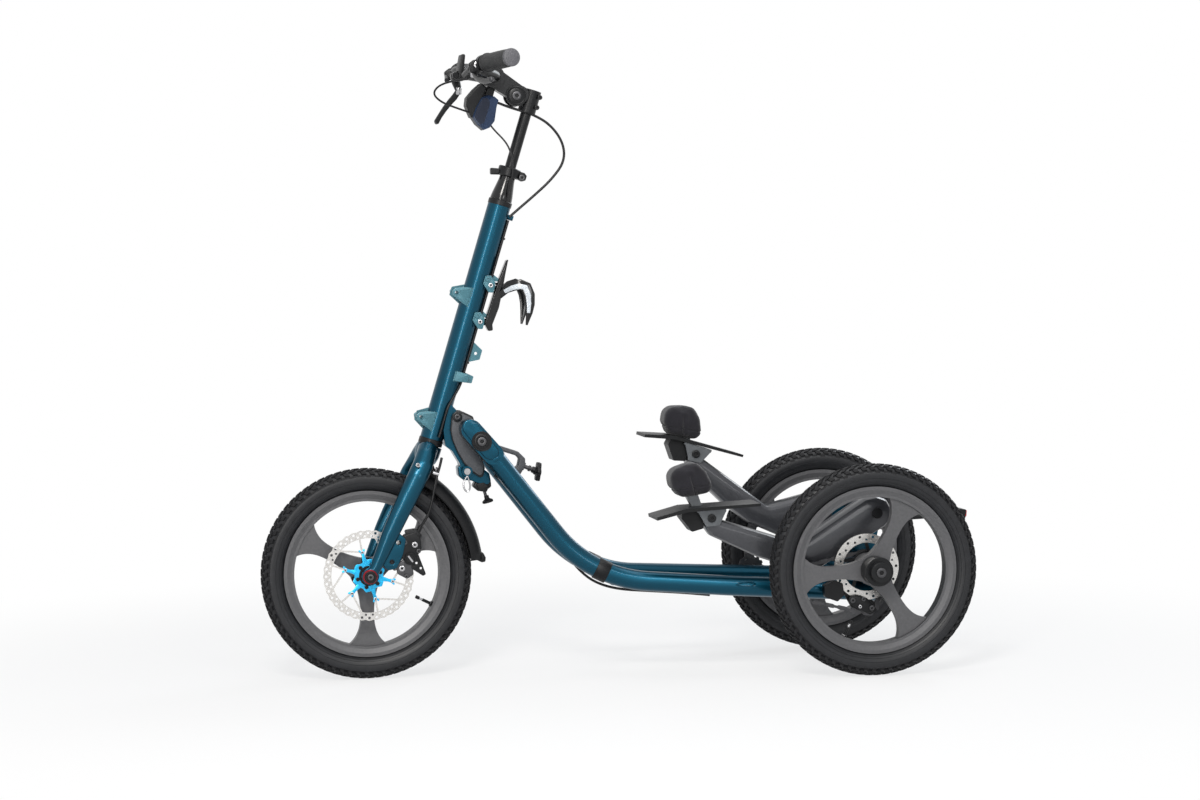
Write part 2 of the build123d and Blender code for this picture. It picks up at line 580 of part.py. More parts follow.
# Clamp bracket over the front cross tube, with its threaded stud and star knob
bracket = plate([(690, 436), (646, 428), (630, 414), (628, 396), (640, 376), (662, 362),
                 (676, 376), (664, 388), (652, 392), (646, 404), (652, 414), (692, 424)],
                -12, 12, 2)
bracket += cross_pin(CROSS_X, CROSS_Z, CROSS_R + 7, -12, 12)
bracket -= cross_pin(CROSS_X, CROSS_Z, CROSS_R, -60, 60)
stud_from = Vector(640, 0, 400)
stud_to = Vector(604, 0, 384)
way = (stud_to - stud_from).normalized()
knob_plane = Plane(origin=stud_to, x_dir=(0, 1, 0), z_dir=way)
star = Circle(17)
for index in range(6):
    star += Rot(0, 0, index * 60) * Pos(14, 0) * Circle(7)
knob = rod(tuple(stud_from), tuple(stud_to), 4) + extrude(knob_plane * star, 12)
save(bracket + knob, "clamp_bracket")

bolt_half = TUBE_HINGE_Y + LUG_HALF_WIDTH
bolt = cross_pin(FOLD_X, FOLD_Z, FOLD_BOLT_R, -bolt_half, bolt_half)
bolt += cross_pin(FOLD_X, FOLD_Z, 15, bolt_half, bolt_half + 6)
bolt += cross_pin(FOLD_X, FOLD_Z, 15, -bolt_half - 6, -bolt_half)
save(bolt, "fold_bolt")

axle_out = TRACK / 2 + HUB_OUT - 2
axle = cross_pin(0, REAR_Z, REAR_AXLE_R, -axle_out, axle_out)
axle += cross_pin(0, REAR_Z, HOUSING_BORE_R, -HOUSING_HALF, HOUSING_HALF)
save(axle, "rear_axle")
shaft_half = LEVER_Y + LEVER_WIDTH / 2 + 4
save(cross_pin(LEVER_PIVOT_X, LEVER_PIVOT_Z, PIVOT_SHAFT_R, -shaft_half, shaft_half),
     "lever_shaft")

# Chain drive outboard of each lever: hub sprocket, carrier pulley on the tube, sprung jockey
PULLEY = (150.0, 172.0)
JOCKEY = (-6.0, 126.0)


def tube_face(x, z):
    """Y of the frame tube's outer side behind the splay, less a thin seat for what is on it."""
    share = (SPLAY_X - x) / (SPLAY_X - TAIL_X)
    axis_y = SPLAY_Y + share * (TAIL_Y - SPLAY_Y)
    axis_z = SPLAY_Z + share * (TAIL_Z - SPLAY_Z)
    return axis_y + (TUBE_R ** 2 - (z - axis_z) ** 2) ** 0.5 - 0.8


def outer_tangent(first, second):
    """Ends of the line that touches two circles on the left of the way from one to the other."""
    (x1, z1, r1), (x2, z2, r2) = first, second
    length = ((x2 - x1) ** 2 + (z2 - z1) ** 2) ** 0.5
    lean = atan2(z2 - z1, x2 - x1)
    turn = lean + pi / 2 - asin((r1 - r2) / length)
    return [(x + r * cos(turn), z + r * sin(turn)) for x, z, r in (first, second)]


def chain_loop(extra):
    """Closed outline round the three wheels, grown by the extra radius."""
    wheels = [(JOCKEY[0], JOCKEY[1], JOCKEY_R + extra), (0, REAR_Z, SPROCKET_R + extra),
              (PULLEY[0], PULLEY[1], PULLEY_R + extra)]
    runs = [outer_tangent(wheels[i], wheels[(i + 1) % 3]) for i in range(3)]
    edges = []
    for index, (start, end) in enumerate(runs):
        x, z, radius = wheels[(index + 1) % 3]
        onward = runs[(index + 1) % 3][0]
        a1 = atan2(end[1] - z, end[0] - x)
        a2 = atan2(onward[1] - z, onward[0] - x)
        middle = (a1 + a2 - (2 * pi if a2 > a1 else 0)) / 2
        edges.append(Line(start, end))
        edges.append(ThreePointArc(end, (x + radius * cos(middle), z + radius * sin(middle)),
                                   onward))
    return edges


def chain(side):
    """Roller chain as a closed loop: a roller band with a pair of plates at each pitch."""
    y = side * CHAIN_Y
    band = make_face(chain_loop(2.4)) - make_face(chain_loop(-2.4))
    loop = extrude(side_plane(y + 2.6) * band, 5.2)
    pitch_line = Wire(chain_loop(0))
    count = 2 * round(pitch_line.length / CHAIN_PITCH / 2)
    for index in range(0, count, 2):
        centre = pitch_line @ (index / count)
        along = pitch_line % (index / count)
        turn = degrees(atan2(along.Y, along.X))
        link = Pos(centre.X, centre.Y) * Rot(0, 0, turn) * SlotOverall(CHAIN_PITCH + 7, 7.6)
        loop += extrude(side_plane(y + CHAIN_HALF) * link, CHAIN_PLATE)
        loop += extrude(side_plane(y - CHAIN_HALF + CHAIN_PLATE) * link, CHAIN_PLATE)
    return loop


for side, name in ((1, "left"), (-1, "right")):
    low, high = sorted((side * (CHAIN_Y - 1.5), side * (CHAIN_Y + 1.5)))
    save(chain(side), "chain_" + name)
    pulley = sprocket(PULLEY[0], PULLEY[1], PULLEY_R, PULLEY_TEETH, 4, low, high)
    shaft = sorted((side * tube_face(*PULLEY), side * (CHAIN_Y + 5)))
    pulley += cross_pin(PULLEY[0], PULLEY[1], 5, *shaft)
    save(pulley - cores, "chain_pulley_" + name)
    plate_span = sorted((side * (CHAIN_Y + 4.2), side * (CHAIN_Y + 7.2)))
    cage_arm = plate([(36, 158), (20, 134), (-8, 134), (-22, 116), (-8, 108), (30, 124),
                      (44, 150)], plate_span[0], plate_span[1], 3)
    jockey_span = sorted((side * (CHAIN_Y - 1.5), side * (CHAIN_Y + 5)))
    cage_arm += cross_pin(JOCKEY[0], JOCKEY[1], JOCKEY_R - 4.4, *jockey_span)
    post_span = sorted((side * tube_face(36, 150), side * (CHAIN_Y + 8.6)))
    cage_arm += cross_pin(36, 150, 6, *post_span)
    save(cage_arm - frame - cores, "chain_tensioner_" + name)
    body_span = sorted((side * (REAR_ROTOR_Y - 5), side * (REAR_ROTOR_Y + 13)))
    caliper = plate([(47, 150), (60, 137), (84, 146), (86, 168), (66, 178), (50, 172)],
                    body_span[0], body_span[1], 4)
    foot_span = sorted((side * tube_face(70, 156), side * (REAR_ROTOR_Y - 4)))
    caliper += plate([(58, 146), (80, 148), (80, 166), (58, 166)], *foot_span)
    gap_span = sorted((side * (REAR_ROTOR_Y - slot), side * (REAR_ROTOR_Y + slot)))
    caliper -= extrude(side_plane(gap_span[1]) * Pos(0, REAR_Z) * Circle(REAR_ROTOR_R + 3),
                       gap_span[1] - gap_span[0])
    save(caliper - frame - cores, "rear_caliper_" + name)

# Foot levers, drawn where the left one rests; the right one is turned up by the swing
pivot_axis = Axis((LEVER_PIVOT_X, 0, LEVER_PIVOT_Z), (0, -1, 0))


def lever_arm(side):
    """V-shaped box beam with bevelled upper edges and a round pivot end."""
    low, high = sorted((side * (LEVER_Y - LEVER_WIDTH / 2), side * (LEVER_Y + LEVER_WIDTH / 2)))
    arm = plate([(300, 303), (124, 246), (20, 312), (-10, 329), (-44, 273), (84, 197), (150, 203),
                 (205, 222), (293, 264), (308, 284)], low, high)
    rims = [edge for edge in arm.edges()
            if min(abs(edge.center().Y - low), abs(edge.center().Y - high)) < 0.01]
    arm = chamfer(rims, LEVER_BEVEL)
    arm += cross_pin(LEVER_PIVOT_X, LEVER_PIVOT_Z, LEVER_END_R, low, high)
    return arm - cross_pin(LEVER_PIVOT_X, LEVER_PIVOT_Z, PIVOT_SHAFT_R + AXLE_CLEARANCE,
                           low - 1, high + 1)


def plate_bracket(side):
    """Triangular cheeks on the lever's tip, joined under the platform, and the pad's strut."""
    bracket = Part()
    for inner in (LEVER_WIDTH / 2, -LEVER_WIDTH / 2 - 5):
        a, b = sorted((side * (LEVER_Y + inner), side * (LEVER_Y + inner + 5)))
        bracket += plate([(324, 315), (266, 317), (281, 286), (306, 284)], a, b, 2.5)
    low, high = sorted((side * (LEVER_Y - LEVER_WIDTH / 2 - 5), side * (LEVER_Y + LEVER_WIDTH / 2 + 5)))
    bracket += plate([(324, 311), (268, 311), (268, 317), (324, 315)], low, high)
    low, high = sorted((side * (LEVER_Y - 10), side * (LEVER_Y + 10)))
    return bracket + plate([(324, 311), (306, 311), (318, 345), (342, 345)], low, high)


def foot_plate(side):
    """Thin foot platform over the bracket, with the black knuckle on the lever's tip."""
    low, high = sorted((side * (LEVER_Y - 36), side * (LEVER_Y + 52)))
    deck = plate([(404, 300), (405, 306), (348, 321), (205, 327), (205, 322), (346, 314)],
                 low, high)
    low, high = sorted((side * (LEVER_Y - 22), side * (LEVER_Y + 22)))
    deck += plate([(309, 280), (312, 300), (330, 318), (350, 316), (352, 300), (332, 274)],
                  low, high, 3)
    return deck - plate_bracket(side) - lever_arm(side)


def foot_pad(side):
    """Closed soft block of the instep pad."""
    low, high = sorted((side * (LEVER_Y - 34), side * (LEVER_Y + 34)))
    block = plate([(377, 384), (366, 398), (322, 410), (300, 388), (288, 360), (296, 344),
                   (354, 336), (374, 360)], low, high, 6)
    return block - plate_bracket(side)


for side, name, turn in ((1, "left", 0.0), (-1, "right", LEVER_SWING)):
    save(lever_arm(side).rotate(pivot_axis, turn), "lever_arm_" + name)
    save(foot_plate(side).rotate(pivot_axis, turn), "foot_plate_" + name)
    save(foot_pad(side).rotate(pivot_axis, turn), "foot_pad_" + name)
    save(plate_bracket(side).rotate(pivot_axis, turn), "plate_bracket_" + name)

# Tail lamp on a thin rod from the tower
lamp_arm = tube([(LEVER_PIVOT_X - 18, 0, LEVER_PIVOT_Z + 4), (-120, 0, 276), (-223.5, 0, 280)],
                [40], 5)
lamp_arm += cross_pin(LEVER_PIVOT_X - 18, LEVER_PIVOT_Z + 4, 6, -TOWER_Y + 3, TOWER_Y - 3)
save(lamp_arm, "tail_lamp_arm")
save(plate([(-224, 270), (-238, 272), (-240, 290), (-224, 292)], -18, 18, 2), "tail_lamp")

# Cables: the loop from the stem, the pair down the column, the frame run and the front hose
loop_low = on_column(480, -30, 9)
bar_cable = tube([(612, 9, 1062), (560, 12, 1040), (546, 12, 985), loop_low], [26, 60], CABLE_R)
bar_cable += tube([(612, 9, 1062), (640, 9, 1072), (690, 16, 1096)], [30], CABLE_R)
save(bar_cable - stem - lamp - post, "bar_cable")
pair = Part()
for side in (1, -1):
    route = [on_column(456, -23.4, side * 7), on_column(130, -23.4, side * 7),
             on_column(84, -10, side * 24), on_column(24, -10, side * 24)]
    pair += tube(route, [40, 30], CABLE_R)
for along in (420, 175, 140):
    pair += rod(on_column(along, -26, -9), on_column(along, -26, 9), 2)
save(pair - head_tube, "column_cable")
under = TUBE_R + CABLE_R - 0.3
run = tube([(694.5, TUBE_HINGE_Y + 1, 381.8), (KNEE_X + 0.52 * under, KNEE_Y, KNEE_Z - 0.96 * under),
            (SPLAY_X + 40, SPLAY_Y - 8, SPLAY_Z + 3 - under)],
           [KNEE_BEND_R + under], CABLE_R)
save(run - frame, "frame_cable")
hose = tube([on_column(-12, -26, 24), on_column(-60, -30, 44), (852, 44, 300), (862, 42, 280)],
            [20, 20], CABLE_R)
save(hose - fork - front_caliper, "front_hose")
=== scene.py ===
import math

import bmesh
import bpy
from mathutils import Matrix, Vector


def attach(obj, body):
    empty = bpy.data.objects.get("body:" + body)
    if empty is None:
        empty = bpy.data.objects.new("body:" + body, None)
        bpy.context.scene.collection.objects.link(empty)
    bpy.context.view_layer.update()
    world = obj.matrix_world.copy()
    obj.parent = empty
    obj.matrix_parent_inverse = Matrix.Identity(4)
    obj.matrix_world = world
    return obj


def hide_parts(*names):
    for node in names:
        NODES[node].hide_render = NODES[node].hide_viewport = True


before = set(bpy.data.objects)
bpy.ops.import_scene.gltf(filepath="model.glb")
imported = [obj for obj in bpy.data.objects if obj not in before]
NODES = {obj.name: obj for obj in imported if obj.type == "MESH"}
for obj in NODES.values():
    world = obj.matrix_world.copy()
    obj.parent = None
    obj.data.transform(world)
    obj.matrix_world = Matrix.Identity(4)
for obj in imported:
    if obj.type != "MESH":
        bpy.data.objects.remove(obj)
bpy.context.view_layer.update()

# Folding stepper tricycle, dressed over its CAD frame. Sizes are layout millimetres as in the
# part's source: X forward from the rear axle, Y to the rider's left, Z up from the ground.
AXLE_TO_ORIGIN = 448.0
WHEEL_R = 200.5
WHEELBASE = 936.0
HALF_TRACK = 210.0
RAKE = math.radians(17.2)
LEVER_Y = 112.0
LEVER_SWING = math.radians(19.0)
# Side-view places (x, z): the fork's crown, the fold bolt and the levers' shaft
CROWN = (813.0, 437.0)
FOLD = (718.0, 448.0)
PIVOT = (-27.0, 300.0)

SIDES = (("left", 1), ("right", -1))


def at(x, y, z):
    """Layout millimetres as a point of the frame, in metres."""
    return Vector(((x - AXLE_TO_ORIGIN) / 1000, y / 1000, z / 1000))


def on_column(along, ahead=0.0, y=0.0):
    """Point on the steering axis: millimetres up from the crown and ahead of the axis."""
    return at(CROWN[0] - along * math.sin(RAKE) + ahead * math.cos(RAKE), y,
              CROWN[1] + along * math.cos(RAKE) + ahead * math.sin(RAKE))


def on_side(along, ahead):
    """Side-view (x, z) in layout millimetres of a point given on the steering axis."""
    spot = on_column(along, ahead)
    return (spot.x * 1000 + AXLE_TO_ORIGIN, spot.z * 1000)


def linked(name, data):
    """New object in the scene."""
    made = bpy.data.objects.new(name, data)
    bpy.context.collection.objects.link(made)
    return made


# Camera, fitted to the photograph's view
CAMERA_AT = (1.12518, 6.07862, 0.88044)
CAMERA_WAY = (-0.17645, -0.98258, -0.05833)
CAMERA_ROLL = math.radians(-0.70)
CAMERA_LENS = 96.8
forward = Vector(CAMERA_WAY).normalized()
level_right = forward.cross(Vector((0, 0, 1))).normalized()
level_up = level_right.cross(forward)
right = math.cos(CAMERA_ROLL) * level_right + math.sin(CAMERA_ROLL) * level_up
up = math.cos(CAMERA_ROLL) * level_up - math.sin(CAMERA_ROLL) * level_right
camera = linked("camera", bpy.data.cameras.new("camera"))
camera.matrix_world = Matrix.Translation(CAMERA_AT) @ Matrix(
    (right, up, -forward)).transposed().to_4x4()
camera.data.sensor_width = 36.0
camera.data.lens = CAMERA_LENS
camera.data.clip_end = 60.0
bpy.context.scene.camera = camera


# Materials
def srgb(red, green, blue):
    """Linear colour of an 8-bit one."""
    out = []
    for value in (red, green, blue):
        value /= 255
        out.append(value / 12.92 if value <= 0.04045 else ((value + 0.055) / 1.055) ** 2.4)
    return (*out, 1.0)


def set_inputs(node, values):
    """Set a shader node's inputs by name."""
    for name, value in values.items():
        node.inputs[name].default_value = value
    return node


def math_node(tree, operation, first, second):
    """Output of a math node over two other outputs."""
    made = tree.nodes.new("ShaderNodeMath")
    made.operation = operation
    tree.links.new(first, made.inputs[0])
    tree.links.new(second, made.inputs[1])
    return made.outputs[0]


def surface(name, colour, rough, metal=0.0, coat=0.0, specular=0.5, vary=0.15,
            vary_scale=60.0, grain=700.0, bump=0.0002, strength=0.4, sheen=0.0, rough_vary=0.08,
            kind="noise"):
    """Principled surface whose colour, roughness and relief come from noise in the piece."""
    mat = bpy.data.materials.new(name)
    mat.use_nodes = True
    tree = mat.node_tree
    link = tree.links.new
    shader = tree.nodes["Principled BSDF"]
    place = tree.nodes.new("ShaderNodeTexCoord").outputs["Object"]
    patches = set_inputs(tree.nodes.new("ShaderNodeTexNoise"),
                         {"Scale": vary_scale, "Detail": 4.0})
    link(place, patches.inputs["Vector"])
    ramp = tree.nodes.new("ShaderNodeValToRGB")
    for stop, position, way in zip(ramp.color_ramp.elements, (0.3, 0.7), (-1, 1)):
        stop.position = position
        stop.color = (*[min(1.0, part * (1 + way * vary)) for part in srgb(*colour)[:3]], 1)
    link(patches.outputs["Fac"], ramp.inputs["Fac"])
    link(ramp.outputs["Color"], shader.inputs["Base Color"])
    spread = set_inputs(tree.nodes.new("ShaderNodeMapRange"),
                        {"To Min": max(0.02, rough - rough_vary),
                         "To Max": min(1.0, rough + rough_vary)})
    link(patches.outputs["Fac"], spread.inputs["Value"])
    link(spread.outputs["Result"], shader.inputs["Roughness"])
    if kind == "cells":
        relief = tree.nodes.new("ShaderNodeTexVoronoi")
        height = relief.outputs["Distance"]
    else:
        relief = set_inputs(tree.nodes.new("ShaderNodeTexNoise"), {"Detail": 3.0})
        height = relief.outputs["Fac"]
    relief.inputs["Scale"].default_value = grain
    link(place, relief.inputs["Vector"])
    raised = set_inputs(tree.nodes.new("ShaderNodeBump"),
                        {"Strength": strength, "Distance": bump})
    link(height, raised.inputs["Height"])
    link(raised.outputs["Normal"], shader.inputs["Normal"])
    set_inputs(shader, {"Metallic": metal, "Coat Weight": coat, "Coat Roughness": 0.06,
                        "Specular IOR Level": specular, "Sheen Weight": sheen,
                        "Sheen Roughness": 0.5})
    return mat


def woven(name, colour, pitch, rough, sheen):
    """Knitted cloth: two crossed waves at thread pitch, over soft colour patches."""
    mat = surface(name, colour, rough, vary=0.22, vary_scale=35, sheen=sheen, specular=0.2)
    tree = mat.node_tree
    waves = []
    for way in ("X", "Z"):
        wave = set_inputs(tree.nodes.new("ShaderNodeTexWave"),
                          {"Scale": 1.0 / pitch / 20 * 6.28, "Distortion": 0.6,
                           "Detail Scale": 3.0})
        wave.bands_direction = way
        tree.links.new(tree.nodes["Texture Coordinate"].outputs["Object"],
                       wave.inputs["Vector"])
        waves.append(wave.outputs["Fac"])
    raised = set_inputs(tree.nodes["Bump"], {"Strength": 0.5, "Distance": 0.0003})
    tree.links.new(math_node(tree, "ADD", *waves), raised.inputs["Height"])
    return mat


TEAL = surface("teal_paint", (6, 66, 86), 0.33, metal=0.88, coat=0.2, vary=0.10,
               vary_scale=900, grain=1600, bump=0.00004, strength=0.35, rough_vary=0.06)
LIGHT_TEAL = surface("light_teal_paint", (60, 108, 120), 0.42, metal=0.30, coat=0.2,
                     vary=0.16, vary_scale=500, grain=500, bump=0.0001)
CAST = surface("cast_grey", (82, 82, 84), 0.46, metal=0.25, vary=0.10,
               vary_scale=200, grain=1300, bump=0.00012, strength=0.5)
# near black of the rims, also used as painted shade on the floors of bolt sockets
RIM_BLACK_AND_SOCKET_SHADE = surface("rim_black_and_socket_shade", (13, 14, 16), 0.40, grain=900, bump=0.0001,
                    specular=0.25)
BLACK_METAL = surface("black_metal", (17, 18, 20), 0.34, metal=0.15, grain=900,
                      bump=0.0001, specular=0.3)
BLACK_GLOSS = surface("black_gloss", (10, 11, 13), 0.16, coat=0.3, grain=900,
                      bump=0.00002, specular=0.3)
BLACK_PLASTIC = surface("black_plastic", (15, 16, 18), 0.46, grain=1500,
                        bump=0.00012, specular=0.22)
RUBBER = surface("tyre_rubber", (25, 26, 29), 0.42, vary=0.22, vary_scale=90, grain=1100,
                 bump=0.0002, strength=0.6, specular=0.34)
TREAD = surface("tread_rubber", (22, 22, 24), 0.66, vary=0.30, vary_scale=160, grain=600,
                bump=0.0003, strength=0.7, specular=0.22)
GRIP_RUBBER = surface("grip_rubber", (22, 23, 25), 0.58, grain=380, bump=0.0006,
                      strength=0.9, kind="cells")
LEVER_PAINT = surface("lever_paint", (62, 63, 67), 0.38, metal=0.45, coat=0.25,
                      vary=0.08, vary_scale=260, grain=1500, bump=0.00012, strength=0.45)
BRACKET = surface("bracket_grey", (92, 95, 98), 0.36, metal=0.6, grain=800,
                  bump=0.0001)
STEEL = surface("bright_steel", (178, 178, 180), 0.24, metal=1.0, vary=0.08, grain=500,
                bump=0.00006)
DARK_STEEL = surface("dark_steel", (78, 78, 80), 0.36, metal=0.9, grain=600, bump=0.0001)
ROTOR = surface("rotor_steel", (205, 203, 200), 0.28, metal=0.85, vary=0.06,
                vary_scale=300, grain=900, bump=0.00005)
CYAN = surface("cyan_anodised", (20, 178, 232), 0.28, metal=0.55, coat=0.3,
               vary=0.08, grain=800, bump=0.00005)
RED = surface("red_anodised", (140, 16, 28), 0.30, metal=0.6, grain=700, bump=0.00005)
LAMP_SHELL = surface("lamp_shell", (20, 28, 46), 0.48, vary=0.06, grain=900,
                     bump=0.00004, specular=0.25)
SCREEN = surface("screen_glass", (20, 24, 32), 0.07, coat=1.0, vary=0.05,
                 strength=0.02)
RED_LENS = surface("red_lens", (190, 18, 22), 0.18, coat=0.8, grain=300,
                   bump=0.0004)
# pale grey band along the cage's arms: a painted highlight on the glossy black hoop
CAGE_PAINTED_HIGHLIGHT = surface("cage_painted_highlight", (196, 202, 208), 0.24, coat=0.6, vary=0.05)
# lighter blue-grey of the lamp's bevel: painted light that stands for its lit facets
LAMP_BEVEL_PAINTED_LIGHT = surface("lamp_bevel_painted_light", (44, 60, 88), 0.44, vary=0.06, grain=900,
                    bump=0.00004, specular=0.3)
CAP_RUBBER = surface("cap_rubber", (84, 84, 88), 0.55, grain=420, bump=0.0007,
                     strength=0.9, kind="cells")
HINGE_GREY = surface("hinge_grey", (64, 66, 70), 0.46, metal=0.2, grain=1300,
                     bump=0.0001)
PAD_CLOTH = woven("pad_cloth", (31, 30, 35), 0.0013, 0.85, 0.25)
CABLE_SHEATH = surface("cable_sheath", (16, 16, 18), 0.36, specular=0.3,
                       grain=900, bump=0.00006)


# Mesh building
def fitted(piece, body, replaces=()):
    """Let a piece ride a body and the CAD nodes it stands for."""
    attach(piece, body)
    if replaces:
        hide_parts(*replaces)
    return piece


class Piece:
    """Collects meshes with their materials, then becomes one object that rides a body."""

    def __init__(self):
        self.mesh = bmesh.new()
        self.materials = []

    def add(self, mesh, material, matrix=None):
        """Take a mesh in, placed and painted. The mesh is used up."""
        if material not in self.materials:
            self.materials.append(material)
        if matrix is not None:
            mesh.transform(matrix)
            if matrix.determinant() < 0:
                mesh.flip_normals()
        index = self.materials.index(material)
        mesh.polygons.foreach_set("material_index", [index] * len(mesh.polygons))
        self.mesh.from_mesh(mesh)
        bpy.data.meshes.remove(mesh)
        return self

    def plate(self, outline, corner, solid, material, y=0.0, holes=()):
        """Add a side-view plate centred on a Y; solid is its thickness, edge and edge steps."""
        return self.add(flat([rounded(outline, corner), *holes], *solid), material, side(y))

    def lathe(self, profile, segments, material, point, way, closed=True):
        """Add a turned shape that stands on a point, along a direction."""
        return self.add(turned(profile, segments, closed), material, aimed(point, way))

    def finish(self, name, body, replaces=(), smooth=35.0):
        """Make the object."""
        mesh = bpy.data.meshes.new(name)
        self.mesh.to_mesh(mesh)
        self.mesh.free()
        for material in self.materials:
            mesh.materials.append(material)
        mesh.polygons.foreach_set("use_smooth", [True] * len(mesh.polygons))
        mesh.set_sharp_from_angle(angle=math.radians(smooth))
        return fitted(linked(name, mesh), body, replaces)


def mesh_from(points, faces):
    """Mesh data from points in metres."""
    mesh = bpy.data.meshes.new("made")
    mesh.from_pydata([tuple(p) for p in points], [], faces)
    mesh.update()
    return mesh


def cleaned(mesh, merge=None, thin=None, normals=True):
    """Mesh with near points merged, thin faces dissolved and its faces turned outward."""
    work = bmesh.new()
    work.from_mesh(mesh)
    if merge:
        bmesh.ops.remove_doubles(work, verts=work.verts, dist=merge)
    if thin:
        bmesh.ops.dissolve_degenerate(work, edges=work.edges, dist=thin)
    if normals:
        bmesh.ops.recalc_face_normals(work, faces=work.faces)
    work.to_mesh(mesh)
    work.free()
    return mesh


def applied(holder):
    """Mesh of an object as its modifiers or its curve's settings leave it."""
    bpy.context.view_layer.update()
    return bpy.data.meshes.new_from_object(
        holder.evaluated_get(bpy.context.evaluated_depsgraph_get()))


def taken(holder):
    """Mesh that a helper object makes, once the helper is gone."""
    mesh = applied(holder)
    data, is_curve = holder.data, holder.type == "CURVE"
    bpy.data.objects.remove(holder)
    if is_curve:
        bpy.data.curves.remove(data)
    mesh.materials.clear()
    return mesh


def turned(profile, segments=48, closed=True):
    """Lathe about local Z: (radius, height) in mm; ends on the axis are closed by a fan."""
    points, faces = [], []
    count = len(profile)
    for step in range(segments):
        angle = 2 * math.pi * step / segments
        for radius, height in profile:
            points.append((radius / 1000 * math.cos(angle), radius / 1000 * math.sin(angle),
                           height / 1000))
    last = count if closed else count - 1
    for step in range(segments):
        onward = (step + 1) % segments
        for index in range(last):
            after = (index + 1) % count
            faces.append((step * count + index, onward * count + index,
                          onward * count + after, step * count + after))
    return cleaned(mesh_from(points, faces), 1e-7, 1e-7)


def flat(outlines, thickness, edge=0.0, rounds=0):
    """Plate in its own XY, centred on Z: the first outline is the edge and the others holes."""
    curve = bpy.data.curves.new("flat", "CURVE")
    curve.dimensions = "2D"
    curve.fill_mode = "BOTH"
    curve.extrude = max(1e-6, (thickness / 2 - edge) / 1000)
    curve.bevel_depth = edge / 1000
    curve.bevel_resolution = rounds
    curve.offset = -edge / 1000
    for outline in outlines:
        spline = curve.splines.new("POLY")
        spline.points.add(len(outline) - 1)
        for point, (x, y) in zip(spline.points, outline):
            point.co = (x / 1000, y / 1000, 0, 1)
        spline.use_cyclic_u = True
    return cleaned(taken(linked("flat", curve)), 1e-6, normals=False)


def ring(radius, count=32, centre=(0.0, 0.0), start=0.0):
    """Points round a circle."""
    return [(centre[0] + radius * math.cos(start + 2 * math.pi * k / count),
             centre[1] + radius * math.sin(start + 2 * math.pi * k / count))
            for k in range(count)]


def rounded(points, radius, steps=4):
    """Polygon with its corners rounded."""
    out = []
    count = len(points)
    for index, corner in enumerate(points):
        corner = Vector(corner)
        into = Vector(points[index - 1]) - corner
        onward = Vector(points[(index + 1) % count]) - corner
        half = into.angle(onward) / 2
        reach = min(radius / math.tan(half), into.length * 0.45, onward.length * 0.45)
        first = corner + into.normalized() * reach
        last = corner + onward.normalized() * reach
        for step in range(steps + 1):
            t = step / steps
            out.append(tuple(first * (1 - t) ** 2 + corner * 2 * t * (1 - t) + last * t * t))
    return out


def waved(count, radius_at):
    """Closed outline whose radius follows a function of the angle."""
    turns = [2 * math.pi * index / count for index in range(count)]
    return [(radius_at(turn) * math.cos(turn), radius_at(turn) * math.sin(turn))
            for turn in turns]


# Turns a plate's own XY into the side view
SIDE_TURN = Matrix(((1, 0, 0), (0, 0, -1), (0, 1, 0))).to_4x4()


def side(y=0.0, centre=(0.0, 0.0)):
    """Matrix from a plate's XY to the side view at a given Y, about a centre in the view."""
    return Matrix.Translation(at(centre[0], y, centre[1])) @ SIDE_TURN


def aimed(point, way):
    """Matrix that puts local Z along a direction."""
    return Matrix.Translation(point) @ Vector(way).to_track_quat("Z", "Y").to_matrix().to_4x4()


COLUMN = aimed(on_column(0), (-math.sin(RAKE), 0, math.cos(RAKE)))


def tube_faces(rings, count):
    """Quads between closed rings of points, then a cap at each end."""
    quads = [(row * count + k, row * count + (k + 1) % count,
              (row + 1) * count + (k + 1) % count, (row + 1) * count + k)
             for row in range(rings - 1) for k in range(count)]
    return quads + [tuple(range(count))[::-1],
                    tuple((rings - 1) * count + k for k in range(count))]


def lofted(stations, hint, count=28):
    """Closed tube through (centre, half-size along the hint, half-size across) stations."""
    points = []
    centres = [Vector(station[0]) for station in stations]
    last = len(stations) - 1
    for index, (centre, along_hint, across) in enumerate(stations):
        way = (centres[min(index + 1, last)] - centres[max(index - 1, 0)]).normalized()
        first = (Vector(hint) - way * way.dot(Vector(hint))).normalized()
        second = way.cross(first)
        for k in range(count):
            turn = 2 * math.pi * k / count
            points.append(Vector(centre) + first * (along_hint / 1000 * math.cos(turn))
                          + second * (across / 1000 * math.sin(turn)))
    return mesh_from(points, tube_faces(len(stations), count))


def merged(meshes, voxel, smoothing):
    """One skin over several closed meshes, its joins rounded off."""
    work = bmesh.new()
    for mesh in meshes:
        work.from_mesh(mesh)
        bpy.data.meshes.remove(mesh)
    joined = bpy.data.meshes.new("joined")
    work.to_mesh(joined)
    work.free()
    holder = linked("joined", joined)
    even = holder.modifiers.new("even", "REMESH")
    even.mode = "VOXEL"
    even.voxel_size = voxel / 1000
    soft = holder.modifiers.new("soft", "SMOOTH")
    soft.factor = 0.5
    soft.iterations = smoothing
    return taken(holder)


def socket_bolt(piece, point, way, radius, height, material=BLACK_METAL):
    """Round bolt head with a hexagon socket, standing up from a point; the socket's floor is a
    near-black disc, painted shade in the recess.
    """
    place = aimed(point, way)
    head = flat([ring(radius, 28), ring(radius * 0.46, 6)], height, radius * 0.12, 1)
    piece.add(head, material, place @ Matrix.Translation((0, 0, height / 2000)))
    # near-black disc at the socket's floor whatever the head's metal: painted shade in the recess
    piece.add(flat([ring(radius * 0.55, 12)], 0.4), RIM_BLACK_AND_SOCKET_SHADE,
              place @ Matrix.Translation((0, 0, height * 0.25 / 1000)))


def hex_nut(piece, point, way, radius, height, material):
    """Hexagon nut with a chamfered top."""
    piece.add(flat([ring(radius, 6)], height, min(0.5, height / 4), 1), material,
              aimed(point, way) @ Matrix.Translation((0, 0, height / 2000)))


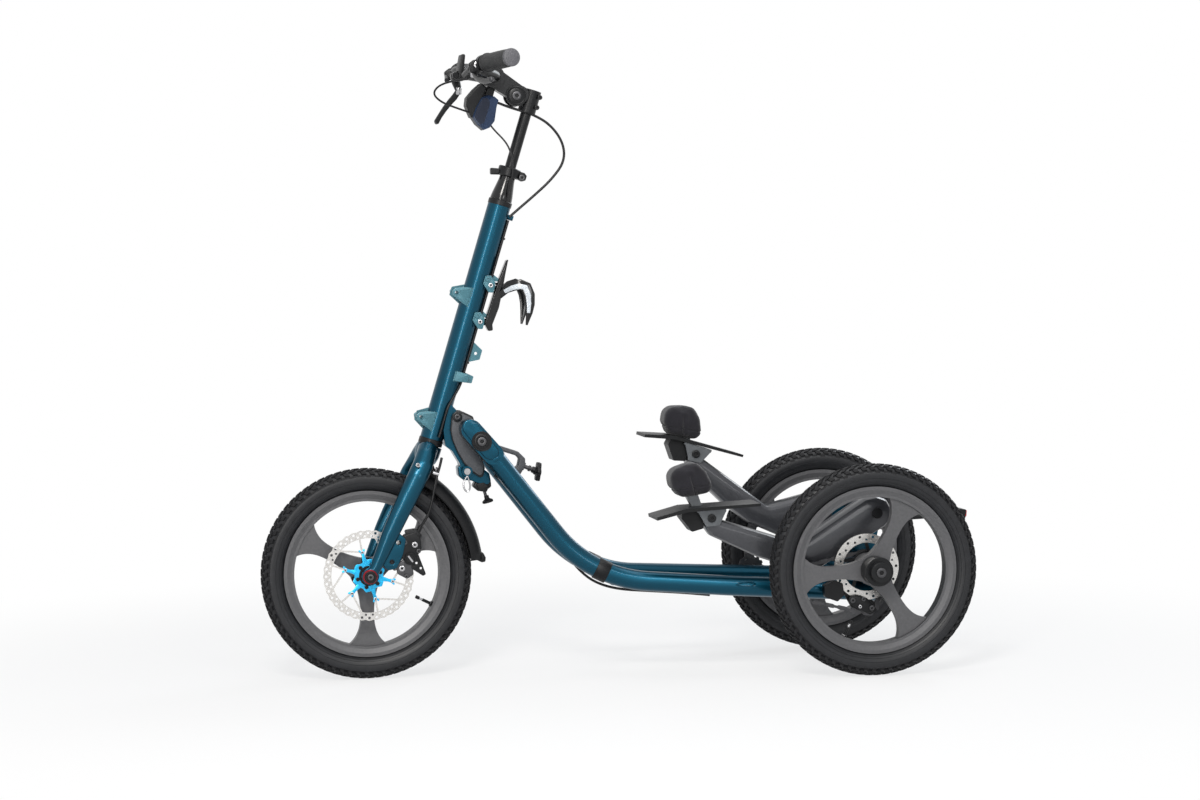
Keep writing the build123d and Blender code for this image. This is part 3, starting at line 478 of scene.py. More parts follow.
def nurbs(name, points, radius, steps=12, resolution=4):
    """Round-sectioned curve object along NURBS control points, in metres."""
    curve = bpy.data.curves.new(name, "CURVE")
    curve.dimensions = "3D"
    spline = curve.splines.new("NURBS")
    spline.points.add(len(points) - 1)
    for point, place in zip(spline.points, points):
        point.co = (*place, 1)
    spline.order_u = 3
    spline.use_endpoint_u = True
    spline.resolution_u = steps
    curve.bevel_depth = radius / 1000
    curve.bevel_resolution = resolution
    curve.use_fill_caps = True
    return linked(name, curve)


def pipe(points, radius, steps=10):
    """Mesh of a thin round cord."""
    return taken(nurbs("pipe", points, radius, steps, 3))


def bar(start, end, radius, material, piece):
    """Round bar with chamfered ends between two points in metres."""
    length = (end - start).length * 1000
    edge = 0.6
    profile = [(0, 0), (radius - edge, 0), (radius, edge), (radius, length - edge),
               (radius - edge, length), (0, length)]
    piece.lathe(profile, 28, material, start, end - start, closed=False)


def paint(name, material, where=None):
    """Give a CAD node a material, or only those faces whose corners in layout mm all pass."""
    node = NODES[name]
    mesh = node.data
    if where is None:
        mesh.materials.clear()
        mesh.materials.append(material)
        return
    mesh.materials.append(material)
    index = len(mesh.materials) - 1
    for face in mesh.polygons:
        corners = [mesh.vertices[k].co * 1000 for k in face.vertices]
        if all(where(c.x + AXLE_TO_ORIGIN, c.y, c.z) for c in corners):
            face.material_index = index


def column_place(x, z):
    """(along, ahead) of a side-view point, measured on the steering axis."""
    dx, dz = x - CROWN[0], z - CROWN[1]
    return (-dx * math.sin(RAKE) + dz * math.cos(RAKE), dx * math.cos(RAKE) + dz * math.sin(RAKE))


# CAD nodes that show, by finish; the others are black metal
FINISHES = {CAST: ("front_wheel_casting", "rear_wheel_casting"), ROTOR: ("rear_rotor",),
            DARK_STEEL: ("chain", "chain_pulley"), BLACK_PLASTIC: ("foot_plate", "tail_lamp"),
            BRACKET: ("plate_bracket",), TEAL: ("head_tube", "main_frame"),
            STEEL: ("rear_axle", "latch_pin"), CABLE_SHEATH: ("column_cable",)}
for node_name in NODES:
    kind = node_name.removesuffix("_left").removesuffix("_right")
    paint(node_name, next((mat for mat, kinds in FINISHES.items() if kind in kinds), BLACK_METAL))

TUBE_SKIN_R = 21.2
EAR_HALF = 3.2
EARS_ALONG = (28, 362)
BARREL_SKIN = (137.2, 138.9)
FRONT_HUB_R = 32
REAR_HUB_R = 27.6
ROTOR_HUB_R = 47


def is_ear(x, y, z):
    """Whether a corner is on an ear of the head tube, outside its round wall."""
    along, ahead = column_place(x, z)
    return (abs(ahead) > TUBE_SKIN_R and abs(y) < EAR_HALF
            and EARS_ALONG[0] < along < EARS_ALONG[1])


def from_axle(axle_x, x, z):
    """Distance in the side view from a wheel's axle."""
    return math.hypot(x - axle_x, z - WHEEL_R)


def rim_well(axle_x, centre_y):
    """Test for the inner barrel of a wheel."""
    def test(x, y, z):
        return (BARREL_SKIN[0] < from_axle(axle_x, x, z) < BARREL_SKIN[1]
                and abs(y - centre_y) < 17)
    return test


paint("head_tube", LIGHT_TEAL, is_ear)
paint("front_wheel_casting", RIM_BLACK_AND_SOCKET_SHADE, rim_well(WHEELBASE, 0))
paint("front_wheel_casting", RIM_BLACK_AND_SOCKET_SHADE,
      lambda x, y, z: from_axle(WHEELBASE, x, z) < FRONT_HUB_R and y > 4)
for name, way in SIDES:
    casting = "rear_wheel_casting_" + name
    paint(casting, RIM_BLACK_AND_SOCKET_SHADE, rim_well(0, way * HALF_TRACK))
    paint(casting, BLACK_METAL,
          lambda x, y, z: from_axle(0, x, z) < REAR_HUB_R and way * y > HALF_TRACK + 8)
    paint(casting, BLACK_METAL, lambda x, y, z: way * y > HALF_TRACK + 44.5)
    paint(casting, DARK_STEEL, lambda x, y, z: way * y < 165)
    paint("rear_rotor_" + name, BLACK_METAL, lambda x, y, z: from_axle(0, x, z) < ROTOR_HUB_R)


# Tyres
TREAD_DEPTH = 2.6
TREAD_PITCHES = 74


def arc_points(first, middle, last, count):
    """Points along the circular arc through three."""
    (ax, ay), (bx, by), (cx, cy) = first, middle, last
    d = 2 * (ax * (by - cy) + bx * (cy - ay) + cx * (ay - by))
    ux = ((ax * ax + ay * ay) * (by - cy) + (bx * bx + by * by) * (cy - ay)
          + (cx * cx + cy * cy) * (ay - by)) / d
    uy = ((ax * ax + ay * ay) * (cx - bx) + (bx * bx + by * by) * (ax - cx)
          + (cx * cx + cy * cy) * (bx - ax)) / d
    radius = math.hypot(ax - ux, ay - uy)
    a0 = math.atan2(ay - uy, ax - ux)
    a1 = math.atan2(cy - uy, cx - ux)
    while a1 - a0 > math.pi:
        a1 -= 2 * math.pi
    while a1 - a0 < -math.pi:
        a1 += 2 * math.pi
    return [(ux + radius * math.cos(a0 + (a1 - a0) * k / count),
             uy + radius * math.sin(a0 + (a1 - a0) * k / count)) for k in range(count + 1)], (ux, uy)


def tyre_halves():
    """Outer line of one half of the tyre, (radius, half width), from bead to crown."""
    neck = (158.2, 12.8)
    belly = (177.5, 22.5)
    shoulder = (177.5 + (WHEEL_R - 177.5) * 0.76, 15.75)
    flank = (neck[0] + (belly[0] - neck[0]) * 0.42, neck[1] + (belly[1] - neck[1]) * 0.70)
    wall, _ = arc_points(neck, flank, belly, 9)
    crown, centre = arc_points(belly, shoulder, (WHEEL_R, 0.0), 16)
    return wall, crown, centre


def tread_block(crown, centre, from_turn, to_turn, low, high, skew, lift):
    """One block on the tread: share of the crown arc low..high, angle from..to in radians."""
    corners = []
    for depth, inset in ((-0.6, 0.0), (lift, 0.12)):
        for share, turn in ((low, from_turn), (low, to_turn), (high, to_turn), (high, from_turn)):
            mid_share = (low + high) / 2
            mid_turn = (from_turn + to_turn) / 2
            share_in = share + (mid_share - share) * inset
            turn_in = turn + (mid_turn - turn) * inset + skew * (share - low)
            spot = abs(share_in) * (len(crown) - 1)
            index = min(int(spot), len(crown) - 2)
            part = spot - index
            radius = crown[index][0] * (1 - part) + crown[index + 1][0] * part
            width = crown[index][1] * (1 - part) + crown[index + 1][1] * part
            away = Vector((radius - centre[0], width - centre[1])).normalized()
            radius += away[0] * (depth - TREAD_DEPTH)
            width += away[1] * (depth - TREAD_DEPTH)
            corners.append((radius, width, turn_in))
    return corners


def make_tyre(name, body, centre, node):
    """Carcass with ridged side walls, and rows of tread blocks over its crown."""
    wall, crown, arc_centre = tyre_halves()
    profile = [(152.9, 12.6)] + wall
    sunk = []
    for index, (radius, width) in enumerate(crown[1:]):
        away = Vector((radius - arc_centre[0], width - arc_centre[1])).normalized()
        depth = TREAD_DEPTH * min(1.0, max(0.0, (index - 2) / 2.0))
        sunk.append((radius - away[0] * depth, width - away[1] * depth))
    profile += sunk
    # fine moulded ridges round the side wall
    ridged = []
    for index, (radius, width) in enumerate(profile):
        ridged.append((radius, width))
        if index in (3, 5, 8):
            onward = profile[index + 1]
            for share, rise in ((0.35, 0.0), (0.5, 0.5), (0.65, 0.0)):
                ridged.append((radius + (onward[0] - radius) * share,
                               width + (onward[1] - width) * share + rise))
    profile = ridged
    full = profile + [(r, -w) for r, w in reversed(profile[:-1])]
    full += [(152.9, -8.8), (176, -18.2), (190, -10), (194, 0), (190, 10), (176, 18.2),
             (152.9, 8.8)]
    piece = Piece()
    piece.add(turned(full, 180), RUBBER, SIDE_TURN)
    points, faces = [], []
    rows = [(0.88, 1.0, 0.62, 0.0, 0.0), (0.60, 0.84, 0.56, 0.35, 0.5),
            (0.36, 0.57, 0.60, -0.2, 0.0), (0.17, 0.33, 0.62, 0.0, 0.5)]
    pitch = 2 * math.pi / TREAD_PITCHES
    for low, high, fill, skew, offset in rows:
        for way in (1, -1):
            for step in range(TREAD_PITCHES):
                start = (step + offset + (0.25 if way < 0 else 0.0)) * pitch
                lift = TREAD_DEPTH - (0.5 if low < 0.3 and step % 2 else 0.0)
                shape = tread_block(crown, arc_centre, start, start + pitch * fill, low, high,
                                    skew * pitch * 4, lift)
                base = len(points)
                for radius, width, angle in shape:
                    points.append((radius / 1000 * math.cos(angle), way * width / 1000,
                                   radius / 1000 * math.sin(angle)))
                quads = [(4, 5, 6, 7), (0, 4, 7, 3), (1, 2, 6, 5), (0, 1, 5, 4), (3, 7, 6, 2)]
                for quad in quads:
                    faces.append(tuple(base + k for k in (quad if way < 0 else quad[::-1])))
    piece.add(mesh_from(points, faces), TREAD)
    made = piece.finish(name, body, smooth=28)
    made.matrix_world = Matrix.Translation(centre)
    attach(made, body)
    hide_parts(node)


make_tyre("front_tyre_rubber", "front_wheel", at(WHEELBASE, 0, WHEEL_R), "front_tyre")
for name, way in SIDES:
    make_tyre("rear_tyre_rubber_" + name, "rear_wheel_" + name,
              at(0, way * HALF_TRACK, WHEEL_R), "rear_tyre_" + name)

# Wheel trim: a valve, the lips of the rim, and the rear wheels' hub bolt and ring
RIM_LIP = [(158.6, 14.6), (159.8, 15.6), (160.4, 14.8), (159.6, 13.6)]


def wheel_trim(name, body, x, y, valve_angle, outward):
    """Small parts of one wheel; the front one, at Y 0, has no hub bolt."""
    piece = Piece()
    centre = at(x, y, WHEEL_R)
    angle = math.radians(valve_angle)
    way = Vector((math.cos(angle), 0, math.sin(angle)))
    foot = centre + way * 0.1385
    tip = centre + way * 0.104 + Vector((0, 0.004 * outward, 0))
    bar(foot, foot + (tip - foot) * 0.6, 3.0, BLACK_PLASTIC, piece)
    bar(foot + (tip - foot) * 0.55, foot + (tip - foot) * 0.8, 2.4, STEEL, piece)
    bar(foot + (tip - foot) * 0.78, tip, 3.3, BLACK_PLASTIC, piece)
    hex_nut(piece, foot - way * 0.001, -way, 6.0, 3.0, DARK_STEEL)
    for mirror in (1, -1):
        piece.add(turned(RIM_LIP, 120), RIM_BLACK_AND_SOCKET_SHADE, Matrix.Translation(centre) @ SIDE_TURN
                  @ Matrix.Scale(mirror, 4, (0, 0, 1)))
    if y:
        face = at(x, y + outward * 58.0, WHEEL_R)
        socket_bolt(piece, face, (0, outward, 0), 9.5, 3.5, DARK_STEEL)
        piece.lathe([(10, 0), (18.6, 0), (18.6, 0.5), (17.8, 1.1), (10, 1.1)], 40, BLACK_METAL,
                    face - Vector((0, outward * 0.0002, 0)), (0, outward, 0))
        piece.lathe([(26.2, -1.0), (27.6, -1.0), (27.6, 0.2), (26.2, 1.0)], 48, BLACK_METAL,
                    at(x, y + outward * 43.5, WHEEL_R), (0, outward, 0))
    piece.finish(name, body)


wheel_trim("front_wheel_trim", "front_wheel", WHEELBASE, 0, 207, 1)
for name, way in SIDES:
    wheel_trim("rear_wheel_trim_" + name, "rear_wheel_" + name, 0, way * HALF_TRACK, -65, way)

# Front disc with its drilled band, slanted struts and the bright spider
ROTOR_R = 86.0
ROTOR_Y = 40.0
DISC_HOLES = 36
# Rows of holes: distance from the axle, hole radius and offset in pitches
HOLE_ROWS = ((80.6, 2.7, 0.0), (74.6, 2.2, 0.5))
disc = Piece()
hub = (WHEELBASE, WHEEL_R)
holes = []
for index in range(DISC_HOLES):
    for reach, radius, offset in HOLE_ROWS:
        turn = 2 * math.pi * (index + offset) / DISC_HOLES
        holes.append(ring(radius, 8, (reach * math.cos(turn), reach * math.sin(turn))))
wavy = waved(8 * DISC_HOLES, lambda turn: ROTOR_R - 0.8 + 0.8 * math.cos(DISC_HOLES * turn))
disc.add(flat([wavy, ring(70.6, 96)] + holes, 1.8), ROTOR, side(ROTOR_Y, hub))
for index in range(6):
    turn = 2 * math.pi * index / 6 + math.radians(15)
    tip = Vector((46 * math.cos(turn), 46 * math.sin(turn)))
    for offset in (-34, 2):
        end_turn = turn + math.radians(offset)
        end = Vector((72.5 * math.cos(end_turn), 72.5 * math.sin(end_turn)))
        along = (end - tip).normalized()
        across = Vector((-along.y, along.x)) * 1.7
        strut = [tuple(tip + across), tuple(tip - across), tuple(end - across), tuple(end + across)]
        disc.add(flat([strut], 1.6), ROTOR, side(ROTOR_Y, hub))
disc.finish("front_disc", "front_wheel", ("front_rotor",))

spider = Piece()
for index in range(6):
    turn = 2 * math.pi * index / 6 + math.radians(15)
    turn_matrix = side(ROTOR_Y + 2.6, hub) @ Matrix.Rotation(turn, 4, "Z")
    arm = rounded([(17, -8), (27, -4.6), (38, -2.8), (44, -3.4), (50, -6.4), (52, -4.4),
                   (47.5, 0), (52, 4.4), (50, 6.4), (44, 3.4), (38, 2.8), (27, 4.6), (17, 8)], 1)
    spider.add(flat([arm], 3.4, 0.5, 1), CYAN, turn_matrix)
    brace = rounded([(24, 6), (30, 3), (29, 14), (20, 18)], 2)
    spider.add(flat([brace], 3.2, 0.4, 1), CYAN, turn_matrix)
    spot = at(WHEELBASE + 46 * math.cos(turn), ROTOR_Y + 4.0, WHEEL_R + 46 * math.sin(turn))
    socket_bolt(spider, spot, (0, 1, 0), 3.2, 1.6, STEEL)
    spot = at(WHEELBASE + 22 * math.cos(turn + 0.5), ROTOR_Y + 4.6,
              WHEEL_R + 22 * math.sin(turn + 0.5))
    socket_bolt(spider, spot, (0, 1, 0), 3.9, 2.6, BLACK_METAL)
spider.lathe([(15, -2), (27, -2), (27.6, 0), (26.6, 2.0), (15, 2.4)], 60, CYAN,
             at(WHEELBASE, ROTOR_Y + 2.6, WHEEL_R), (0, 1, 0))
spider.finish("front_disc_spider", "front_wheel")

# Axle end with its red ring, on the fork's left leg
axle_end = Piece()
axle_face = at(WHEELBASE, 67, WHEEL_R)
axle_tip = at(WHEELBASE, 0, WHEEL_R)
axle_tip.y = max(vertex.co.y for vertex in NODES["front_axle"].data.vertices) - 0.003
axle_end.lathe([(9.5, 0), (13.6, 0), (13.8, 1.2), (12.8, 2.4), (9.5, 2.6)], 48, RED, axle_face,
               (0, 1, 0))
axle_end.lathe([(0, 0), (11.2, 0), (11.6, 1), (11.6, 4), (10.4, 5), (7.4, 5), (6.8, 4.2),
                (0, 4.2)], 40, BLACK_METAL, axle_tip, (0, 1, 0), closed=False)
socket_bolt(axle_end, axle_tip + Vector((0, 0.004, 0)), (0, 1, 0), 6.0, 1.6, DARK_STEEL)
axle_end.finish("front_axle_end", "steering")

# Fork: two tapered blades that grow out of a round crown, merged and smoothed
LEG = [((817, 436), 16, 19, 19), ((823, 424), 32, 19, 18), ((831, 406), 45, 19.5, 16),
       ((841, 387), 53, 19.8, 14.5), ((865, 341), 57.5, 18.8, 12.6), ((882, 308), 58, 17.8, 12),
       ((897, 277), 58, 16.4, 11.4), ((911, 246), 58, 14.0, 10.6), ((922, 222), 58, 12.0, 10.0),
       ((929, 208), 58, 11.0, 9.4)]
solids = []
for way in (1, -1):
    solids.append(lofted([(at(x, way * y, z), wide, thick) for (x, z), y, wide, thick in LEG],
                         (1, 0, 0)))
    foot = flat([ring(15.5, 32)], 16, 2, 1)
    foot.transform(side(way * 58, (WHEELBASE, WHEEL_R)))
    solids.append(foot)
crown = turned([(0, -36), (12, -34), (20, -28), (23.6, -16), (24.4, 0), (24.2, 4), (15, 4.2),
                (15, 20), (0, 20)], 40, closed=False)
crown.transform(COLUMN)
solids.append(crown)
fork = Piece()
fork.add(merged(solids, 2.2, 7), TEAL)
tab = rounded([(879, 282), (866, 268), (872, 240), (884, 214), (900, 210), (912, 222),
               (900, 250)], 6)
fork.add(flat([tab, ring(4.5, 16, (880, 262)), ring(4.5, 16, (893, 226))], 7, 1.0, 2), TEAL,
         side(52))
fork.finish("fork_blades", "steering", ("fork",), smooth=60)
fork_trim = Piece()
socket_bolt(fork_trim, at(843, 64.5, 408), (-0.3, 1, 0.3), 4.2, 3.0, STEEL)
socket_bolt(fork_trim, at(806, 36, 397), (-1, 0.2, -0.2), 5.0, 4.0, DARK_STEEL)
socket_bolt(fork_trim, at(806, -36, 397), (-1, -0.2, -0.2), 5.0, 4.0, DARK_STEEL)
bar(at(812, 40, 392), at(800, 40, 388), 3.4, STEEL, fork_trim)
fork_trim.finish("fork_trim", "steering")

# Front caliper: cast body round the disc, piston cap, bolts, banjo and finned pad plate
caliper = Piece()
CALIPER_IN, CALIPER_OUT = 28.0, 51.0
upper_body = rounded([(868, 276), (848, 281), (838, 270), (836, 248), (846, 232), (868, 226),
                      (880, 240), (878, 262)], 8)
for low, high in ((CALIPER_OUT - 9.5, CALIPER_OUT), (CALIPER_IN, 38.0)):
    caliper.add(flat([upper_body], high - low, 2.2, 2), BLACK_METAL, side((low + high) / 2))
bridge = rounded([(868, 284), (846, 287), (834, 274), (842, 264), (862, 270)], 5)
caliper.add(flat([bridge], CALIPER_OUT - CALIPER_IN - 2, 1.5, 1), BLACK_METAL,
            side((CALIPER_OUT + CALIPER_IN) / 2))
lower_body = rounded([(886, 222), (866, 230), (852, 222), (852, 200), (864, 192), (882, 202)], 6)
caliper.add(flat([lower_body], 10, 2.0, 2), DARK_STEEL, side(CALIPER_OUT - 8))
fin = rounded([(856, 240), (842, 238), (828, 200), (834, 197), (856, 212)], 3)
caliper.add(flat([fin, ring(2.2, 12, (838, 212)), ring(2.2, 12, (846, 222))], 2.4, 0.5, 1),
            BLACK_METAL, side(CALIPER_OUT - 4))
caliper.lathe([(0, 0), (10.4, 0), (11.4, 1.0), (11.4, 5), (10.4, 6), (8.2, 6), (7.6, 4.6),
               (0, 4.6)], 40, BLACK_METAL, at(858, CALIPER_OUT - 0.5, 231), (0, 1, 0),
              closed=False)
caliper.plate([(852, 226), (855, 224), (864, 236), (861, 238)], 1, (0.8, 0.2), STEEL,
              CALIPER_OUT + 4.4)
for x, z, radius in ((868, 262, 4.6), (849, 257, 5.4), (842, 245, 4.2), (874, 213, 5.6),
                     (866, 198, 3.6), (888, 214, 4.6)):
    socket_bolt(caliper, at(x, CALIPER_OUT - 1, z), (0, 1, 0), radius, 4.0,
                STEEL if radius > 5 else DARK_STEEL)
bar(at(842, 41, 279), at(836, 41, 292), 4.4, BLACK_METAL, caliper)
caliper.finish("front_caliper_body", "steering", ("front_caliper",))

# Mudguard: arched shell round the tyre with rolled edges and a tab at its tail
guard = Piece()
GUARD_LINE = [(198.6, 28.6), (200.5, 29.6), (208, 28.2), (216, 22.4), (221.4, 12.4), (223.4, 0)]
outer = GUARD_LINE + [(r, -w) for r, w in reversed(GUARD_LINE[:-1])]
inner = [(r - 2.2 if w * w < 500 else r - 0.4, w * 0.925) for r, w in reversed(outer)]
section = outer + inner
points = []
GUARD_STEPS = 40
for step in range(GUARD_STEPS + 1):
    angle = math.radians(117.5 + 57.0 * step / GUARD_STEPS)
    taper = 1.0 if step < GUARD_STEPS - 3 else 1.0 - 0.10 * (step - GUARD_STEPS + 3)
    for radius, width in section:
        points.append(at(WHEELBASE + radius * math.cos(angle), width * taper,
                         WHEEL_R + radius * math.sin(angle)))
guard.add(cleaned(mesh_from(points, tube_faces(GUARD_STEPS + 1, len(section)))), BLACK_PLASTIC)
guard.plate([(722, 232), (713, 234), (708, 224), (709, 216), (716, 215), (728, 221)], 3,
            (20, 2, 1), BLACK_PLASTIC)
guard.plate([(797, 376), (803, 369), (830, 390), (820, 410), (806, 404)], 3, (24, 1.5, 1),
            BLACK_PLASTIC)
guard.finish("front_mudguard_shell", "steering", ("front_mudguard",))

# Hinge: raised lug faces, bolts, curved side plates, bracket with its pins
lugs = Piece()
STADIUM = [(758.8, 480.7), (753.0, 490.8), (741.6, 493.5), (729.1, 486.8), (689.2, 433.7),
           (689.3, 422.4), (704.7, 414.1), (716.0, 419.3), (757.1, 471.3)]
for way in (1, -1):
    face = at(FOLD[0] + 4, way * 73.6, FOLD[1] + 3)
    lugs.add(flat([rounded(STADIUM, 12, 5)], 8, 3, 2), TEAL, side(way * 69.5))
    lugs.lathe([(14, -1), (18.6, -1), (19.0, 0.4), (17.6, 1.6), (14, 1.6)], 48, BLACK_PLASTIC,
               face, (0, way, 0))
    lugs.lathe([(0, 0), (14.2, 0), (14.8, 0.8), (14.8, 3.2), (13.8, 4.0), (10.4, 4.0), (9.8, 3.2),
                (0, 3.2)], 48, BLACK_METAL, face, (0, way, 0), closed=False)
    # lighter dark-steel bolt on the black head: a real bolt, whose lighter tone also stands in for
    # the head's ring highlight, so partly a painted highlight
    socket_bolt(lugs, at(FOLD[0] + 4, way * 76.4, FOLD[1] + 3), (0, way, 0), 8.4, 2.0, DARK_STEEL)
    # collar weld where each tube leaves its lug
    lugs.lathe([(18.2, -5), (19.6, -4.4), (20.6, 0), (19.6, 4.4), (18.2, 5)], 48, TEAL,
               at(694, way * 51.6, 417), (-0.62, 0, -0.78))
lugs.finish("hinge_lug_faces", "frame", smooth=40)

plates = Piece()
CRESCENT = [(772.9, 489.3), (775.1, 470.4), (771.6, 451.3), (762.4, 428.2), (749.3, 405.1),
            (732.3, 387.5), (719.0, 378.3), (713.0, 381.3), (710.0, 396.5), (714.0, 412.0),
            (722.0, 431.4), (730.0, 454.6), (728.0, 484.8), (731.5, 495.5), (749.8, 504.7),
            (764.1, 506.0), (771.0, 500.0)]
middle = Vector((744, 446))
for way in (1, -1):
    plates.plate(CRESCENT, 6, (7, 1.2, 1), BLACK_METAL, way * 24)
    face = [tuple(middle + (Vector(p) - middle) * 0.93) for p in CRESCENT]
    plates.plate(face, 6, (1.6, 0.6, 1), HINGE_GREY, way * 27.8)
    socket_bolt(plates, at(761.8, way * 28.4, 495.3), (0, way, 0), 9.4, 4.0)
    socket_bolt(plates, at(761.8, way * 31.6, 495.3), (0, way, 0), 5.4, 1.4, DARK_STEEL)
plates.finish("hinge_side_plates", "column", ("hinge_plates",))

plunger = Piece()
plunger.plate([(732, 361), (724, 375), (697, 372), (696, 360), (708, 351), (722, 352)], 4,
              (28, 3, 2), BLACK_METAL)
plunger.plate([(726, 366), (712, 369), (700, 362), (706, 350), (720, 352)], 3, (36, 2, 1),
              BLACK_PLASTIC)
bar(at(709, 0, 354), at(704.4, 0, 338), 3.0, DARK_STEEL, plunger)
plunger.lathe([(0, 0), (4.4, 0), (4.8, 6), (9.4, 9), (10.6, 10), (10.6, 13), (9.4, 14), (0, 14)],
              36, BLACK_PLASTIC, at(704.6, 0, 342), (-0.25, 0, -0.97), closed=False)
plunger.finish("latch_plunger_body", "column", ("latch_plunger",))

clamp = Piece()
CLAMP = [(694, 439), (678, 437), (643, 425), (630, 412), (630, 398), (637, 386), (646, 372),
         (660, 362), (676, 372), (668, 386), (652, 391), (644, 398), (641, 411), (647, 417.5),
         (676, 427), (694, 428)]
clamp.plate(CLAMP, 5, (26, 1.6, 1), HINGE_GREY)
knob_way = Vector((-0.93, 0, -0.37))
start = at(641, 0, 400)
bar(start, start + knob_way * 0.040, 4.0, DARK_STEEL, clamp)
hex_nut(clamp, start + knob_way * 0.006, knob_way, 8.6, 6.0, DARK_STEEL)
hex_nut(clamp, start + knob_way * 0.020, knob_way, 6.6, 4.0, DARK_STEEL)
clamp.lathe([(0, 0), (6, 0), (6.6, 5), (8, 6), (8, 9), (0, 9)], 32, BLACK_METAL,
            start + knob_way * 0.027, knob_way, closed=False)
lobes = waved(96, lambda turn: 17.6 + 2.0 * math.cos(6 * turn))
clamp.add(flat([lobes], 8, 1.8, 2), BLACK_PLASTIC,
          aimed(start + knob_way * 0.040, (-0.99, 0, -0.12)))
clamp.finish("clamp_bracket_body", "frame", ("clamp_bracket",))

# Ears: plates welded to both sides of the head tube, with bead, hole or bolts
column_trim = Piece()
FRONT_EAR = [(6, 17), (24, 14), (38, 8), (43.5, 1), (40, -7), (27, -13), (6, -21)]
CAGE_EAR = [(10, 9), (20, 12), (31, 2), (33, -18), (24, -20), (10, -8)]
LOW_EAR = [(6, 8), (32, 8), (33, -8), (8, -12)]
# Each: along the column, which side of it, outline, reach of its hole if any, and if bolted
EARS = [(297, 1, FRONT_EAR, 34.4, False), (52, 1, FRONT_EAR, 33.2, False),
        (334, -1, CAGE_EAR, None, True), (262, -1, CAGE_EAR, None, True),
        (146, -1, LOW_EAR, None, False)]
for along, ahead_way, shape, hole, bolted in EARS:
    outline = [on_side(along + rise, ahead_way * ahead) for ahead, rise in shape]
    cuts = [ring(3.4, 20, on_side(along, hole))] if hole else []
    plate_y = 18.6 if hole else 19.4
    for way in (1, -1):
        column_trim.plate(outline, 3, (4.0, 0.7, 1), LIGHT_TEAL, way * plate_y, cuts)
        if hole:
            column_trim.lathe([(3.5, 0), (6.0, 0), (6.0, 0.6), (3.5, 0.9)], 24, LIGHT_TEAL,
                              on_column(along, hole, way * (plate_y + 1.8)), (0, way, 0))
        elif bolted:
            column_trim.lathe([(2.4, 0), (5.6, 0), (5.8, 1.0), (5.2, 2.2), (2.4, 2.4)], 28,
                              LIGHT_TEAL, on_column(along + 4, -16.0, way * (plate_y + 1.8)),
                              (0, way, 0))
            socket_bolt(column_trim, on_column(along - 6, -24, way * (plate_y + 1.6)), (0, way, 0),
                        4.4, 2.4, STEEL)
        # the weld bead along the inner edge of the plate
        low, high = shape[-1][1], shape[0][1]
        edge = ahead_way * (shape[0][0] + 1)
        run = [on_column(along + low + (high - low) * k / 9, edge + 0.8 * (k % 2),
                         way * (plate_y + 1.4 + 0.5 * (k % 2))) for k in range(10)]
        column_trim.add(pipe(run, 1.7), LIGHT_TEAL)
for along, ahead in ((334, -35.6), (262, -33.2)):
    for way in (1, -1):
        socket_bolt(column_trim, on_column(along, ahead, way * 3.0), (0, way, 0), 4.6, 3.0, STEEL)
for way in (1, -1):
    column_trim.lathe([(0, 0), (6.6, 0), (7.0, 1.0), (6.0, 2.4), (0, 2.6)], 32, STEEL,
                      at(744, way * 27.4, 391), (0, way, 0), closed=False)
    column_trim.lathe([(7.0, -1), (10.6, -1), (11.0, 0.4), (10.0, 1.4), (7.0, 1.4)], 40, TEAL,
                      at(744, way * 27.4, 391), (0, way, 0))
foot = rounded([(761, 400), (759, 382), (750, 374), (735, 372.5), (720, 366), (704, 363),
                (697, 370), (700, 386), (716, 398), (735, 406)], 5)
column_trim.add(flat([foot], 34, 2.5, 2), TEAL, side(0))
# slim bearing covers, flush with the tube
for cover in ([(20.6, 478.5), (22.4, 478.5), (22.9, 479.2), (22.9, 487.6), (22.2, 488.4),
               (20.6, 488.4)],
              [(20.6, 5.4), (22.6, 5.4), (23.2, 6.2), (23.2, 16), (22.4, 16.8), (20.6, 16.8)]):
    column_trim.add(turned(cover, 64), BLACK_METAL, COLUMN)
loop = [at(744, 29, 383), at(752, 30, 374), at(752, 30, 360), at(745, 30, 351), at(739, 30, 358),
        at(740, 30, 372), at(744, 29, 383)]
column_trim.add(pipe(loop, 1.6, 8), STEEL)
column_trim.finish("column_trim", "column", ("lower_bearing", "upper_bearing"))

# A band and a cable port on each frame tube
frame_trim = Piece()
BAND_R = 19.6
BAND_HALF = 12.5
BAND = [(BAND_R - 1.4, -BAND_HALF), (BAND_R + 0.7, -BAND_HALF), (BAND_R + 1.2, -BAND_HALF + 0.8),
        (BAND_R + 1.2, BAND_HALF - 0.8), (BAND_R + 0.7, BAND_HALF), (BAND_R - 1.4, BAND_HALF)]
PORT = [(250, 171), (236, 176), (216, 176), (206, 171), (216, 166), (236, 166)]
port_slot = [(x * 0.72 + 228 * 0.28, z * 0.72 + 171 * 0.28) for x, z in rounded(PORT, 4)]
for way in (1, -1):
    frame_trim.lathe(BAND, 60, BLACK_PLASTIC, at(493, way * 64, 198.7),
                     (-0.886, way * 0.117, -0.449))
    frame_trim.plate(PORT, 4, (2.0, 0.4, 1), TEAL, way * 127.5, [port_slot])
frame_trim.finish("frame_trim", "frame")

